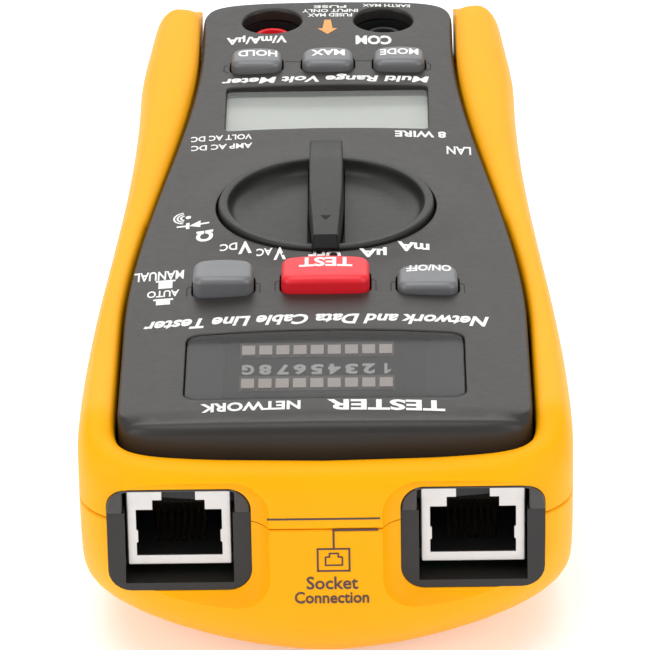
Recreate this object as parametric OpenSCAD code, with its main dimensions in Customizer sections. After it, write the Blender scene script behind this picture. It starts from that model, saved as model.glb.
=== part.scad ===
// Handheld network cable tester with a built-in autoranging multimeter.
// Millimetres. The back lies on Z = 0, the two network jacks face -Y and the
// meter sockets are at the +Y end. The dial turns about the Z axis.

/* [Case] */
// Greatest width, at the end with the network jacks
case_near_w = 74.4; // [74.4:0.2:76]
// Width of the waist, at the end with the meter sockets
case_far_w = 62.6; // [62.6:0.2:64]
// Overall length
case_len = 164.5; // [164.5:0.5:166]
// Height of the face panel above the back, on the centre line
face_z = 41; // [41:0.25:42]
// Fall of the face from the centre line to 30 mm beside it
crown_drop = 1.3; // [0.8:0.1:1.5]
// How far the grip rails stand above the edge of the panel at the far end
rail_rise = 3.6; // [2:0.2:4]

/* [Network jacks] */
// Distance of each jack from the centre line
jack_x = 21.95; // [21.6:0.05:22.1]
// Width of the metal shield
jack_w = 15.7; // [15.5:0.1:15.8]
// Height of the metal shield
jack_h = 13.3; // [13:0.1:13.3]
// Depth of the jack behind its mouth
jack_depth = 21; // [18:0.5:21]

/* [Meter sockets] */
// Distance between the two socket centres
socket_pitch = 19.05; // [19:0.05:19.05]
// Radius of the bore that takes a 4 mm plug
plug_r = 2; // [2:0.01:2.05]

/* [Dial] */
// Radius of the dial rim
dial_r = 17.24; // [17:0.04:17.28]
// Angle from one dial position to the next
detent_step = 18; // [18:1:18]

/* [Hidden] */
$fn = 48;
big = 400;

black = [0.24, 0.23, 0.22];
yellow = [1, 0.68, 0.02];
key_grey = [0.56, 0.57, 0.58];
test_red = [0.85, 0.08, 0.13];
board_green = [0.05, 0.3, 0.16];
silver = [0.85, 0.84, 0.82];
brass = [0.78, 0.62, 0.28];

// heights
grip_seam_z = 27;                 // where the two yellow grips meet
case_seam_z = 28.5;               // where the two black shells meet
flange_z = 34;                    // top of the ledge that the front grip sits on
shell_t = 2;                      // wall of the black shells
roof_z = face_z - 2.2;            // underside of the face
floor_out_z = 0.5;                // outside of the black back, just clear of the table
floor_lip_z = 2.2;
floor_in_z = 4.4;
step_z = 9;                       // where the rear shell steps out to its full width
wall_z = 16;                      // where it steps out to its full length
main_top_z = flange_z;            // top of the main board
board_t = 1.6;
jack_z = 18.65;                   // underside of the jacks, top of the jack board

// plan
near_y = -case_len / 2;
far_y = case_len / 2;
near_cap = 16.5;                  // length of the rounded near end
far_cap = 15.7;
near_cap_y = near_y + near_cap;
far_cap_y = far_y - far_cap;
grip_inset = 3;                   // outside of the grips to the outside of the black shells
wall_in = grip_inset + shell_t;   // the same, to the inside of the black shells
step_near = 4.5;                  // the same at the near end, below wall_z
foot_inset = 7.2;                 // the same, below the step
foot_near = 11;
opening_inset = 9.7;              // edge of the opening in the back of the rear grip
opening_near = 18;
gap = 0.05;                       // fitting gap between the grips and the shells
notch_x = 21.4;                   // half width of the black end between the rails

// far and near openings
lcd_size = [33.5, 17.1];
lcd_y = 38.6;
lens_size = [42.6, 21.4];
lens_y = -54.9;
led_x = -1.5;
led_pitch = 2.62;
socket_y = 74.2;
socket_hole_r = 5;
socket_body_r = 6.2;
socket_z0 = 21.5;                 // underside of the socket bodies
post_r = 3.05;
sleeve_r = 2.5;
surround_size = [21.4, 17];
surround_z0 = 15.4;
surround_y = near_y + 3;
jack_face_y = near_y + 5;
boss_xy = [[9, -66], [18, 62]];   // case screws, mirrored in X

// keys: centre x, centre y, width, depth, height above the face
hold_at = [-11.9, 55.6, 8.5, 5.4, 1.9];
max_at = [0.1, 55.6, 8.6, 5.4, 1.9];
mode_at = [12.1, 55.6, 8.6, 5.4, 1.9];
auto_at = [-15.9, -27.9, 9.4, 6.3, 2.8];
test_at = [0, -27.4, 13.7, 7.2, 2.8];
power_at = [15.9, -27.9, 9.4, 6.3, 1.5];

// battery bay, door and stand in the back
bay = [13.7, -46, 4];             // half width, near end, far end
door = [15.1, -51.4, 5.4];
door_edge_r = 1;                  // the hinged edge of the door is round about its hinge
stand = [12.5, 12, 69.5];         // half width, free end, hinged end
stand_axis = [68, 2.2];           // y and z of the stand's pin
pin_r = 0.8;
run_gap = 0.05;

function smooth(t) = let (u = max(0, min(1, t))) u * u * (3 - 2 * u);
function dip(t) = 1 - sqrt(max(0, 1 - pow(max(0, t), 2)));
function side_w(y) = case_far_w / 2 + (case_near_w - case_far_w) / 2 * smooth((43.7 - y) / 110)
  - 1.8 * smooth((y - 48) / 30);
function panel_w(y) = 21.4 + 9.8 * smooth((64.7 - y) / 104);

// A ring of points round the case, drawn in by e at the sides, en at the near end and ef at the
// far end. The widths come from side_w or panel_w.
function arc(n, q) = [for (i = [0:n]) [pow(sin(90 * i / n), q), pow(cos(90 * i / n), q)]];
function half_ring(wide, e, near_mid, near_len, far_mid, far_len, qn, qf) = let (
    nearp = [for (p = arc(10, qn)) [p[0] * (wide(near_mid) - e), near_mid - p[1] * near_len]],
    sidep = [for (i = [1:11]) let (y = near_mid + (far_mid - near_mid) * i / 12) [wide(y) - e, y]],
    farp = [for (i = [0:8]) let (p = arc(8, qf)[8 - i])
      [p[0] * (wide(far_mid + p[1] * far_len) - e), far_mid + p[1] * far_len]])
  concat(nearp, sidep, farp);
function whole_ring(half) = concat(half, [for (i = [len(half) - 2:-1:1]) [-half[i][0], half[i][1]]]);
function case_ring(e, en, ef) = whole_ring(half_ring(function (y) side_w(y), e, near_cap_y,
  max(0.8, near_cap - en), far_cap_y, max(0.8, far_cap - ef), 2 / 3.4, 2 / 4.5));
// The ring of the rear grip at height z: towards the back its near end grows rounder and longer.
function low_ring(z, e, en, ef) = let (k = max(0, min(1, (grip_seam_z - z) / 25)), far_in = 26 * pow(k, 3))
  whole_ring(half_ring(function (y) side_w(y), e, near_cap_y + far_in, near_cap - en + far_in, far_cap_y,
    max(0.8, far_cap - ef), 2 / (3.4 - 1.5 * k), 2 / 4.5));
function panel_ring(e) = whole_ring(half_ring(function (y) panel_w(y), e, -62, 13.7 - e,
  far_cap_y, far_cap - e, 2 / 4, 2 / 7));

module slab(points, z0, z1) {
  translate([0, 0, z0]) linear_extrude(z1 - z0) polygon(points);
}
module block(x0, x1, y0, y1, z0, z1) {
  translate([x0, y0, z0]) cube([x1 - x0, y1 - y0, z1 - z0]);
}
function corner(cx, cy, r, a0) = [for (a = [a0:15:a0 + 90]) [cx + r * cos(a), cy + r * sin(a)]];
function pad_points(w, d, r) =
  let (x = w / 2 - r, y = d / 2 - r)
    concat(corner(x, y, r, 0), corner(-x, y, r, 90), corner(-x, -y, r, 180), corner(x, -y, r, 270));
module pad(x, y, w, d, r, z0, z1) {
  translate([x, y, z0]) linear_extrude(z1 - z0) polygon(pad_points(w, d, r));
}
module both_sides() {
  children();
  mirror([1, 0, 0]) children();
}
// A rounded tunnel along Y, seen from the near end
module tunnel(x, z, w, h, r, y0, y1) {
  translate([x, y1, z]) rotate([90, 0, 0]) linear_extrude(y1 - y0) polygon(pad_points(w, h, r));
}

// ---- the two yellow grips: rings swept round the case ----
// A closed band whose cross-section at station i is rows[i], a list of points
module band(rows) {
  n = len(rows);
  m = len(rows[0]);
  points = [for (row = rows, p = row) p];
  faces = [for (i = [0:n - 1], k = [0:m - 1])
    let (a = i * m + k, b = i * m + (k + 1) % m, c = ((i + 1) % n) * m + (k + 1) % m,
      d = ((i + 1) % n) * m + k) each [[a, b, c], [a, c, d]]];
  polyhedron(points, faces);
}
function at_z(ring, i, z) = [ring[i][0], ring[i][1], z];
function nose_drop(y) = 4.2 * smooth((-66 - y) / 9);
function rail_z(y) = face_z - crown_drop + rail_rise * smooth((y + 20) / 90) - nose_drop(y)
  - 5 * smooth((y - 72) / 12);

module far_notch() {
  block(-notch_x - 0.2, notch_x + 0.2, 72, far_y + 5, -1, 60);
}
module jack_mouths(grow) {
  both_sides()
    tunnel(jack_x, surround_z0 + surround_size[1] / 2, surround_size[0] + 2 * grow,
      surround_size[1] + 2 * grow, 3.5 + grow, near_y - 2, -66);
}

module front_grip() {
  outer = case_ring(0, 0, 0);
  panel = panel_ring(-0.3);
  inner = case_ring(grip_inset - gap, grip_inset - gap, grip_inset - gap);
  rows = [for (i = [0:len(outer) - 1])
    let (o = outer[i], q = panel[i], top = rail_z(q[1]), h = 5.5,
      lean = function (u, z) [o[0] + (q[0] - o[0]) * u, o[1] + (q[1] - o[1]) * u, z])
    [at_z(inner, i, grip_seam_z + gap), at_z(outer, i, grip_seam_z + gap), lean(0, top - h),
      for (a = [15:15:75]) lean(0.5 * (1 - cos(a)), top - h + h * sin(a)),
      lean(0.55, top), lean(0.8, top - 0.25), lean(1, top - 1), lean(1, flange_z + gap),
      at_z(inner, i, flange_z + gap)]];
  color(yellow) difference() {
    band(rows);
    far_notch();
    jack_mouths(0.2);
  }
}

module rear_grip() {
  levels = [grip_seam_z - gap, 23, 19.5, 16, 13, 10, 7.5, 5, 3, 1.5, 0.4, 0];
  outer = [for (z = levels)
    low_ring(z, 7 * dip((14 - z) / 14), 15.5 * dip((16 - z) / 16), 6 * dip((6 - z) / 6))];
  wall = low_ring(wall_z, grip_inset - gap, grip_inset - gap, grip_inset - gap);
  step = low_ring(step_z, grip_inset - gap, step_near - gap, grip_inset - gap);
  foot_top = low_ring(step_z, foot_inset - gap, foot_near - gap, foot_inset - gap);
  foot = low_ring(floor_lip_z, foot_inset - gap, foot_near - gap, foot_inset - gap);
  lip = low_ring(floor_lip_z, opening_inset - gap, opening_near - gap, opening_inset);
  rows = [for (i = [0:len(lip) - 1]) [
    for (k = [len(levels) - 1:-1:0]) at_z(outer[k], i, levels[k]),
    at_z(wall, i, grip_seam_z - gap), at_z(wall, i, wall_z - gap), at_z(step, i, step_z - gap),
    at_z(foot_top, i, step_z - gap), at_z(foot, i, floor_lip_z - gap), at_z(lip, i, floor_lip_z - gap),
    at_z(lip, i, 0)]];
  color(yellow) difference() {
    band(rows);
    far_notch();
    jack_mouths(0.2);
    both_sides() translate([boss_xy[0][0], boss_xy[0][1], -1]) cylinder(h = 4, r = 3.4);
  }
}

// ---- the black shells ----
module face_solid() {
  crown_r = 900 / (2 * crown_drop);
  nose_r = 5;
  intersection() {
    slab(panel_ring(0), flange_z - 1.8, 60);
    translate([0, big / 2, face_z - crown_r]) rotate([90, 0, 0]) cylinder(h = big, r = crown_r, $fn = 360);
    translate([-50, 0, 0]) rotate([90, 0, 90]) linear_extrude(100)
      polygon(concat([[far_y + 10, 20], [far_y + 10, 60], [-71, 60]], [[-71, face_z]],
        [for (a = [100:10:180]) [-71 + nose_r * cos(a), face_z - nose_r + nose_r * sin(a)]],
        [[-76.2, 34], [-76.2, 20]]));
  }
}
module key_hole(at) {
  pad(at[0], at[1], at[2] + 0.5, at[3] + 0.5, 1.5, roof_z - 1, face_z + 5);
}
module surround_part(z0, z1) {
  both_sides() intersection() {
    tunnel(jack_x, surround_z0 + surround_size[1] / 2, surround_size[0], surround_size[1], 3.5,
      surround_y, surround_y + 6);
    block(0, 60, -100, 0, z0, z1);
  }
}
module jack_space() {
  both_sides() block(jack_x - jack_w / 2 - 0.25, jack_x + jack_w / 2 + 0.25, near_y - 5, -55,
    jack_z - 2, flange_z - 1.85);
}
module socket_space() {
  translate([socket_pitch / 2, socket_y, socket_z0 - 0.1])
    cylinder(h = roof_z - socket_z0 + 0.1, r = socket_body_r + 0.1);
}
module front_boss(xy) {
  translate([xy[0], xy[1], case_seam_z]) cylinder(h = roof_z - case_seam_z + 0.5, r = 2.7);
}

module front_case() {
  ledge_z = flange_z - 1.8;
  color(black) difference() {
    union() {
      difference() {
        slab(case_ring(grip_inset, grip_inset, grip_inset), case_seam_z, flange_z);
        slab(case_ring(grip_inset + shell_t, grip_inset + shell_t, grip_inset + shell_t),
          case_seam_z - 1, ledge_z);
        slab(panel_ring(shell_t), ledge_z - 1, flange_z + 1);
      }
      difference() {
        face_solid();
        intersection() {
          slab(panel_ring(shell_t), ledge_z - 1, roof_z);
          block(-60, 60, -67, far_y, 20, 60);
        }
      }
      difference() {
        intersection() {
          slab(case_ring(0, 0, 0), case_seam_z, flange_z);
          block(-notch_x, notch_x, 74, far_y + 5, 20, 60);
        }
        slab(case_ring(5, 5, 5), case_seam_z - 1, ledge_z);
        slab(panel_ring(shell_t), ledge_z - 1, flange_z + 1);
      }
      surround_part(case_seam_z, 40);
      both_sides() for (xy = boss_xy) front_boss(xy);
    }
    jack_space();
    pad(0, lcd_y, lcd_size[0], lcd_size[1], 1, roof_z - 1, face_z + 5);
    translate([0, 0, roof_z - 1]) cylinder(h = 10, r = dial_r + 0.4);
    for (at = [hold_at, max_at, mode_at, auto_at, test_at, power_at]) key_hole(at);
    pad(0, lens_y, lens_size[0], lens_size[1], 2.2, face_z - 1.9, face_z + 5);
    pad(-1.5, lens_y + 1, 24, 18, 1, roof_z - 1, face_z);
    both_sides() translate([socket_pitch / 2, socket_y, roof_z - 1]) cylinder(h = 10, r = socket_hole_r);
    both_sides() socket_space();
    both_sides() for (xy = boss_xy)
      translate([xy[0], xy[1], case_seam_z - 1]) cylinder(h = 9, r = 1.5);
  }
}

module rear_boss(xy) {
  translate([xy[0], xy[1], floor_in_z - 1]) cylinder(h = jack_z - board_t - floor_in_z + 1, r = 4.2);
  translate([xy[0], xy[1], floor_in_z]) cylinder(h = case_seam_z - floor_in_z, r = 3.2);
}
module rear_boss_hole(xy) {
  translate([xy[0], xy[1], -1]) cylinder(h = 16, r = 2.9);
  translate([xy[0], xy[1], 0]) cylinder(h = 40, r = 1.6);
}
module rear_shell() {
  difference() {
    union() {
      slab(low_ring(floor_lip_z, opening_inset, opening_near, opening_inset), floor_out_z,
        floor_lip_z + 0.5);
      slab(low_ring(floor_lip_z, foot_inset, foot_near, foot_inset), floor_lip_z, step_z);
      slab(low_ring(step_z, grip_inset, step_near, grip_inset), step_z, wall_z);
      slab(low_ring(wall_z, grip_inset, grip_inset, grip_inset), wall_z, case_seam_z);
      intersection() {
        slab(case_ring(0, 0, 0), 3, case_seam_z);
        block(-notch_x, notch_x, 74, far_y + 5, 0, 60);
      }
    }
    slab(low_ring(floor_lip_z, foot_inset + shell_t, foot_near + shell_t, foot_inset + shell_t), floor_in_z,
      step_z + 2.5);
    slab(low_ring(step_z, wall_in, step_near + shell_t, wall_in), step_z + shell_t, wall_z + 2.5);
    slab(low_ring(wall_z, wall_in, wall_in, wall_in), wall_z + shell_t, case_seam_z + 1);
  }
}
module bay_ribs() {
  difference() {
    block(-bay[0] - 1.2, bay[0] + 1.2, bay[1] - 1.2, bay[2] + 1.4, floor_in_z - 1, 20);
    block(-bay[0], bay[0], bay[1], bay[2] + 3, 0, 21);
  }
}
module rear_case() {
  color(black) difference() {
    union() {
      rear_shell();
      surround_part(surround_z0 - 1, case_seam_z);
      both_sides() for (xy = boss_xy) rear_boss(xy);
      bay_ribs();
      translate([0, bay[1] - 2.6, floor_in_z - 1]) cylinder(h = 4.6, r = 3.4);
      block(-17.5, 17.5, stand_axis[0] - 3.5, stand_axis[0] + 3.5, floor_in_z - 1, 5.6);
    }
    jack_space();
    both_sides() socket_space();
    both_sides() for (xy = boss_xy) rear_boss_hole(xy);
    // door recess, battery opening, hook slots and screw hole
    block(-door[0] - 0.25, door[0] + 0.25, door[1] - 0.25, door[2] + 0.25, -1, 2.65);
    block(-bay[0], bay[0], bay[1], bay[2], -1, 10);
    both_sides() block(5.75, 10.25, bay[2] - 1, door[2] + 1.8, 1.6, 8);
    translate([0, bay[1] - 2.6, 0]) cylinder(h = 7.2, r = 1.65);
    // stand recess and pin holes
    block(-stand[0] - 0.3, stand[0] + 0.3, stand[1] - 4, stand[2] + 0.7, -1, 3.1);
    block(-stand[0] - 0.3, stand[0] + 0.3, stand_axis[0] - 1.9, stand_axis[0] + 1.9, -1, 4.1);
    translate([-15.5, stand_axis[0], stand_axis[1]]) rotate([0, 90, 0])
      cylinder(h = 31, r = pin_r + run_gap);
  }
}

// ---- windows and display ----
module pinout_lens() {
  half_w = 22;
  color([0.3, 0.3, 0.3, 0.8]) intersection() {
    pad(0, lens_y, lens_size[0] - 0.3, lens_size[1] - 0.3, 2.1, face_z - 1.85, face_z + 3);
    rotate([90, 0, 0]) linear_extrude(80) polygon(concat([[-half_w, 30], [half_w, 30]],
      [for (x = [half_w:-2:-half_w]) [x, face_z - crown_drop * pow(x / 30, 2)]]));
  }
}
module lcd_window() {
  color([0.8, 0.85, 0.85, 0.4])
    pad(0, lcd_y, lcd_size[0] - 0.1, lcd_size[1] - 0.1, 0.9, roof_z + 0.05, roof_z + 1);
}
module lcd_module() {
  color([0.71, 0.73, 0.7]) block(-19, 19, lcd_y - 10.5, lcd_y + 10.5, 36.5, roof_z - 0.1);
}
module lcd_frame() {
  color("white") difference() {
    block(-19.4, 19.4, lcd_y - 12, lcd_y + 12, main_top_z + 0.02, roof_z - 0.1);
    block(-19.05, 19.05, lcd_y - 10.55, lcd_y + 10.55, 36.45, roof_z + 1);
    block(-17, 17, lcd_y - 9.5, lcd_y + 9.5, main_top_z - 1, 40);
  }
}
module lcd_contact_strips() {
  color("dimgray") for (y = [lcd_y - 8.6, lcd_y + 6.6]) block(-16, 16, y, y + 2, main_top_z, 36.45);
}

// ---- dial ----
module dial_bar() {
  tail = dial_r - 0.9;
  translate([0, 0, 38.5]) linear_extrude(5.2) polygon([[-3.6, tail - 1], [3.6, tail - 1], [3.1, -tail + 1],
    [-3.1, -tail + 1]]);
  intersection() {
    translate([0, 0, 38.5]) linear_extrude(8)
      polygon([[-2.65, tail], [2.65, tail], [2.7, 4], [1.75, -tail], [-1.75, -tail], [-2.7, 4]]);
    rotate([90, 0, 90]) translate([0, 0, -5]) linear_extrude(10)
      polygon([[tail + 1, 30], [tail + 1, 44.9], [tail - 1.2, face_z + 4.5], [-13, face_z + 3.2],
        [-15.8, face_z + 2.6], [-tail - 1, face_z + 0.5], [-tail - 1, 30]]);
  }
}
module dial_knob() {
  color(black) {
    difference() {
      rotate_extrude($fn = 96) polygon([[0, 37.2], [dial_r + 1.3, 37.2], [dial_r + 1.3, 38.5],
        [dial_r, 38.5], [dial_r, face_z + 0.7], [dial_r - 0.3, face_z + 1], [dial_r - 1.7, face_z + 1],
        [dial_r - 2.4, face_z + 0.2], [dial_r - 4, 39.8], [8, 39.4], [0, 39.3]]);
      translate([0, 0, 36]) cylinder(h = 2.6, r = 3);
    }
    dial_bar();
    translate([0, 0, 36.2]) cylinder(h = 3, r = 2.9);
  }
}
module dial_rotor() {
  color("gainsboro") difference() {
    union() {
      translate([0, 0, 35.6]) cylinder(h = 1.6, r = 12.4);
      translate([0, 0, 34.05]) cylinder(h = 1.8, r = 3.4);
    }
    translate([0, 0, 33]) cylinder(h = 6, r = 2.9);
    for (a = [0, 180]) rotate([0, 0, a]) translate([0, 0, 36.4]) rotate([0, 90, 0])
      translate([0, 0, 7.5]) cylinder(h = 6, r = 0.75);
  }
}
module dial_wipers() {
  color(brass) for (a = [0:120:240]) rotate([0, 0, a]) {
    block(-1, 1, 6, 11, 35.2, 35.6);
    block(-1, 1, 10.4, 11, 34.06, 35.3);
  }
}
module detent_ring() {
  color("gainsboro") translate([0, 0, 35.5]) difference() {
    cylinder(h = 1.65, r = 15.6);
    translate([0, 0, -1]) cylinder(h = 4, r = 13.2);
    for (a = [0:detent_step:359]) rotate([0, 0, a]) translate([13.6, 0, -1]) cylinder(h = 4, r = 1);
  }
  color("gainsboro") for (a = [45:90:315]) rotate([0, 0, a])
    translate([14.6, 0, main_top_z]) cylinder(h = 1.6, r = 0.8);
}
module detent_springs() {
  color(silver) for (a = [0, 180]) rotate([0, 0, a]) translate([0, 0, 36.4]) rotate([0, 90, 0])
    for (x = [7.7:0.75:10.7]) translate([0, 0, x]) rotate_extrude($fn = 24)
      translate([0.5, 0]) circle(r = 0.15, $fn = 16);
}
module detent_balls() {
  color(silver) for (a = [0, 180]) rotate([0, 0, a]) translate([12.3, 0, 36.4]) sphere(r = 0.7);
}

// ---- keys ----
// at: centre x, y, width, depth, height. The foot hangs below the face and a nib reaches its switch.
module key(at, nib_r, nib_z, tint) {
  color(tint) {
    pad(at[0], at[1], at[2], at[3], 1.2, 37.4, face_z + at[4] - 0.5);
    pad(at[0], at[1], at[2] - 0.7, at[3] - 0.7, 1, face_z, face_z + at[4]);
    pad(at[0], at[1], at[2] + 1.6, at[3] + 1.2, 1.5, 37.4, roof_z - 0.1);
    translate([at[0], at[1], nib_z]) cylinder(h = 38 - nib_z, r = nib_r);
  }
}
module switch_body(at, w, top, bore_r) {
  color("dimgray") difference() {
    pad(at[0], at[1], w, w, 0.6, main_top_z, top);
    translate([at[0], at[1], main_top_z + 0.3]) cylinder(h = 5, r = bore_r);
  }
}
module hold_key() { key(hold_at, 1.3, 35.6, key_grey); }
module max_key() { key(max_at, 1.3, 35.6, key_grey); }
module mode_key() { key(mode_at, 1.3, 35.6, key_grey); }
module upper_switches() { for (at = [hold_at, max_at, mode_at]) switch_body(at, 4.5, 36.2, 1.5); }
module test_key() { key(test_at, 1.8, 35.6, test_red); }
module test_switch() { switch_body(test_at, 6, 36.1, 2); }
module auto_manual_key() { key(auto_at, 1.6, 35.7, key_grey); }
module auto_manual_switch() { switch_body(auto_at, 6, 36, 1.8); }
module power_key() { key(power_at, 1.6, 35.7, key_grey); }
module power_switch() { switch_body(power_at, 6, 36, 1.8); }

// ---- boards and what is on them ----
module main_board() {
  color(board_green) difference() {
    intersection() {
      slab(panel_ring(shell_t + 0.4), main_top_z - board_t, main_top_z);
      block(-50, 50, -62, 67.4, 0, 60);
    }
    both_sides() {
      translate([socket_pitch / 2, socket_y, 30]) cylinder(h = 8, r = 6.6);
      block(boss_xy[1][0] - 3.1, 30, boss_xy[1][1] - 3.2, 90, 30, 40);
    }
    translate([0, 0, 30]) cylinder(h = 8, r = 3.2);
  }
}
module meter_chips() {
  color([0.08, 0.08, 0.08]) {
    block(-7, 7, 36, 50, main_top_z - board_t - 1.6, main_top_z - board_t);
    block(-20, -12, -48, -36, main_top_z - board_t - 1.6, main_top_z - board_t);
    block(10, 18, -48, -38, main_top_z - board_t - 1.6, main_top_z - board_t);
  }
}
module led_blocks() {
  color([0.45, 0.44, 0.43]) for (y = [-61.6, -50.5]) difference() {
    block(led_x - 11.5, led_x + 11.5, y, y + 4.8, main_top_z, 38.2);
    for (i = [-4:4])
      block(led_x + i * led_pitch - 1, led_x + i * led_pitch + 1, y + 0.4, y + 3.4, 37.6, 39);
  }
}
module led_row(y) {
  color([0.9, 0.86, 0.82]) for (i = [-4:4])
    block(led_x + i * led_pitch - 0.97, led_x + i * led_pitch + 0.97, y + 0.43, y + 3.37, 37.6, 38.3);
}
module near_leds() { led_row(-61.6); }
module far_leds() { led_row(-50.5); }

// A shielded network jack whose mouth faces -Y
module jack_mouth(x, grow, y0, y1) {
  block(x - 6.4 - grow, x + 6.4 + grow, y0, y1, jack_z + 1.75 - grow, jack_z + 9.4 + grow);
  block(x - 3.9 - grow, x + 3.9 + grow, y0, y1, jack_z + 9, jack_z + 11.2 + grow);
  block(x - 2.55 - grow, x + 2.55 + grow, y0, y1, jack_z + 11, jack_z + 12.6);
}
module jack_shield(x) {
  color(silver) difference() {
    block(x - jack_w / 2, x + jack_w / 2, jack_face_y, jack_face_y + jack_depth, jack_z, jack_z + jack_h);
    block(x - jack_w / 2 + 0.4, x + jack_w / 2 - 0.4, jack_face_y + 0.4, jack_face_y + jack_depth - 0.4,
      jack_z - 1, jack_z + jack_h - 0.4);
    jack_mouth(x, 0, jack_face_y - 1, jack_face_y + 1);
  }
}
module jack_insulator(x) {
  color([0.1, 0.1, 0.1]) difference() {
    block(x - jack_w / 2 + 0.45, x + jack_w / 2 - 0.45, jack_face_y + 0.45,
      jack_face_y + jack_depth - 0.45, jack_z, jack_z + jack_h - 0.45);
    jack_mouth(x, 0.25, jack_face_y, jack_face_y + 14);
    for (i = [-3.5:3.5]) block(x + i * 1.016 - 0.26, x + i * 1.016 + 0.26, jack_face_y + 4.6,
      jack_face_y + 14.6, jack_z + 0.6, jack_z + 3);
  }
}
module jack_contacts(x) {
  color(brass) for (i = [-3.5:3.5]) translate([x + i * 1.016 - 0.23, 0, 0]) rotate([90, 0, 90])
    linear_extrude(0.46) polygon([[jack_face_y + 5, jack_z + 0.65], [jack_face_y + 14.4, jack_z + 0.65],
      [jack_face_y + 14.4, jack_z + 2.9], [jack_face_y + 13.9, jack_z + 2.9],
      [jack_face_y + 5.2, jack_z + 1.1]]);
}
module left_jack_shield() { jack_shield(-jack_x); }
module left_jack_insulator() { jack_insulator(-jack_x); }
module left_jack_contacts() { jack_contacts(-jack_x); }
module right_jack_shield() { jack_shield(jack_x); }
module right_jack_insulator() { jack_insulator(jack_x); }
module right_jack_contacts() { jack_contacts(jack_x); }
module jack_board() {
  color(board_green) difference() {
    intersection() {
      slab(low_ring(step_z, wall_in + 0.6, step_near + shell_t + 0.6, wall_in + 0.6), jack_z - board_t,
        jack_z);
      block(-50, 50, -73, -50, 0, 60);
    }
    both_sides() translate([boss_xy[0][0], boss_xy[0][1], 10]) cylinder(h = 20, r = 3.4);
  }
}
module board_header() {
  color([0.1, 0.1, 0.1]) block(-12.7, 12.7, -56.5, -54, jack_z, main_top_z - board_t);
}

// ---- meter sockets ----
module socket_body(x, tint) {
  color(tint) translate([x, socket_y, 0]) {
    difference() {
      translate([0, 0, socket_z0]) cylinder(h = roof_z - 0.1 - socket_z0, r = socket_body_r);
      translate([0, 0, 24]) cylinder(h = 20, r = socket_hole_r);
      translate([0, 0, 20]) cylinder(h = 20, r = sleeve_r);
    }
    translate([0, 0, 23.5]) difference() {
      cylinder(h = face_z - 2.7 - 23.5, r = post_r);
      translate([0, 0, -1]) cylinder(h = 14.9, r = sleeve_r);
      cylinder(h = 20, r = plug_r + 0.15);
    }
  }
}
module socket_sleeve(x) {
  color(brass) translate([x, socket_y, 0]) difference() {
    union() {
      translate([0, 0, 20.5]) cylinder(h = 16.9, r = sleeve_r);
      block(-1.5, 1.5, -8.2, 1, 20.5, 21.4);
      block(-1.5, 1.5, -8.2, -7.4, 20.5, main_top_z - board_t);
    }
    translate([0, 0, 22]) cylinder(h = 20, r = plug_r);
  }
}
module volt_socket() { socket_body(-socket_pitch / 2, test_red); }
module volt_sleeve() { socket_sleeve(-socket_pitch / 2); }
module com_socket() { socket_body(socket_pitch / 2, black); }
module com_sleeve() { socket_sleeve(socket_pitch / 2); }

// ---- power and protection ----
module fuse() {
  color("lightblue") translate([-10, 56, 28.4]) rotate([0, 90, 0]) {
    cylinder(h = 20, r = 2.2);
    cylinder(h = 5, r = 2.5);
    translate([0, 0, 15]) cylinder(h = 5, r = 2.5);
  }
}
module fuse_clips() {
  color(silver) for (x = [-9.5, 6.5]) difference() {
    block(x, x + 3, 53, 59, 27.4, main_top_z - board_t);
    translate([x - 1, 56, 28.4]) rotate([0, 90, 0]) cylinder(h = 5, r = 2.55);
    block(x - 1, x + 4, 54, 58, 20, 28.4);
  }
}
module buzzer() {
  color([0.1, 0.1, 0.1]) translate([0, 22, 27.9]) difference() {
    cylinder(h = 4.5, r = 7);
    translate([0, 0, -1]) cylinder(h = 2, r = 1);
  }
}
module battery() {
  color("steelblue") block(-13.1, 13.1, bay[1] + 0.6, bay[1] + 46.2, 4.9, 22.3);
  color(silver) for (x = [-6.35, 6.35]) translate([x, bay[1] + 46.1, 13.6]) rotate([-90, 0, 0])
    cylinder(h = 2.6, r = 2.8);
}
module battery_snap() {
  color([0.1, 0.1, 0.1]) difference() {
    block(-12.5, 12.5, bay[1] + 46.4, bay[1] + 50.4, 9, 18.2);
    for (x = [-6.35, 6.35])
      translate([x, bay[1] + 46, 13.6]) rotate([-90, 0, 0]) cylinder(h = 2.75, r = 2.9);
  }
}
module battery_leads() {
  for (x = [-3, 3]) color(x < 0 ? "black" : "red") {
    translate([x, bay[2] + 1.4, 12]) cylinder(h = main_top_z - board_t - 12, r = 0.7);
    translate([x, bay[2] + 0.4, 12.7]) rotate([-90, 0, 0]) cylinder(h = 1, r = 0.7);
  }
}
module battery_door() {
  color(black) difference() {
    union() {
      block(-door[0], door[0], door[1], door[2] - door_edge_r, floor_out_z, floor_out_z + 2 * door_edge_r);
      translate([-door[0], door[2] - door_edge_r, floor_out_z + door_edge_r]) rotate([0, 90, 0])
        cylinder(h = 2 * door[0], r = door_edge_r);
      both_sides() block(6, 10, door[2] - 2, door[2] + 1.4, 1.9, 3.1);
    }
    translate([0, bay[1] - 2.6, 0]) cylinder(h = 5, r = 1.25);
    translate([0, bay[1] - 2.6, -0.5]) cylinder(h = 2, r = 2.3);
    for (i = [0:4]) block(-8, 8, -26 + i * 2.2, -25 + i * 2.2, 0, 0.9);
  }
}
module door_screw() {
  color(silver) translate([0, bay[1] - 2.6, 0]) difference() {
    union() {
      translate([0, 0, 0.7]) cylinder(h = 0.8, r = 2.2);
      translate([0, 0, 0.7]) cylinder(h = 4.8, r = 1.25);
    }
    for (a = [0, 90]) rotate([0, 0, a]) block(-1.3, 1.3, -0.25, 0.25, 0, 1.1);
  }
}
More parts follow.
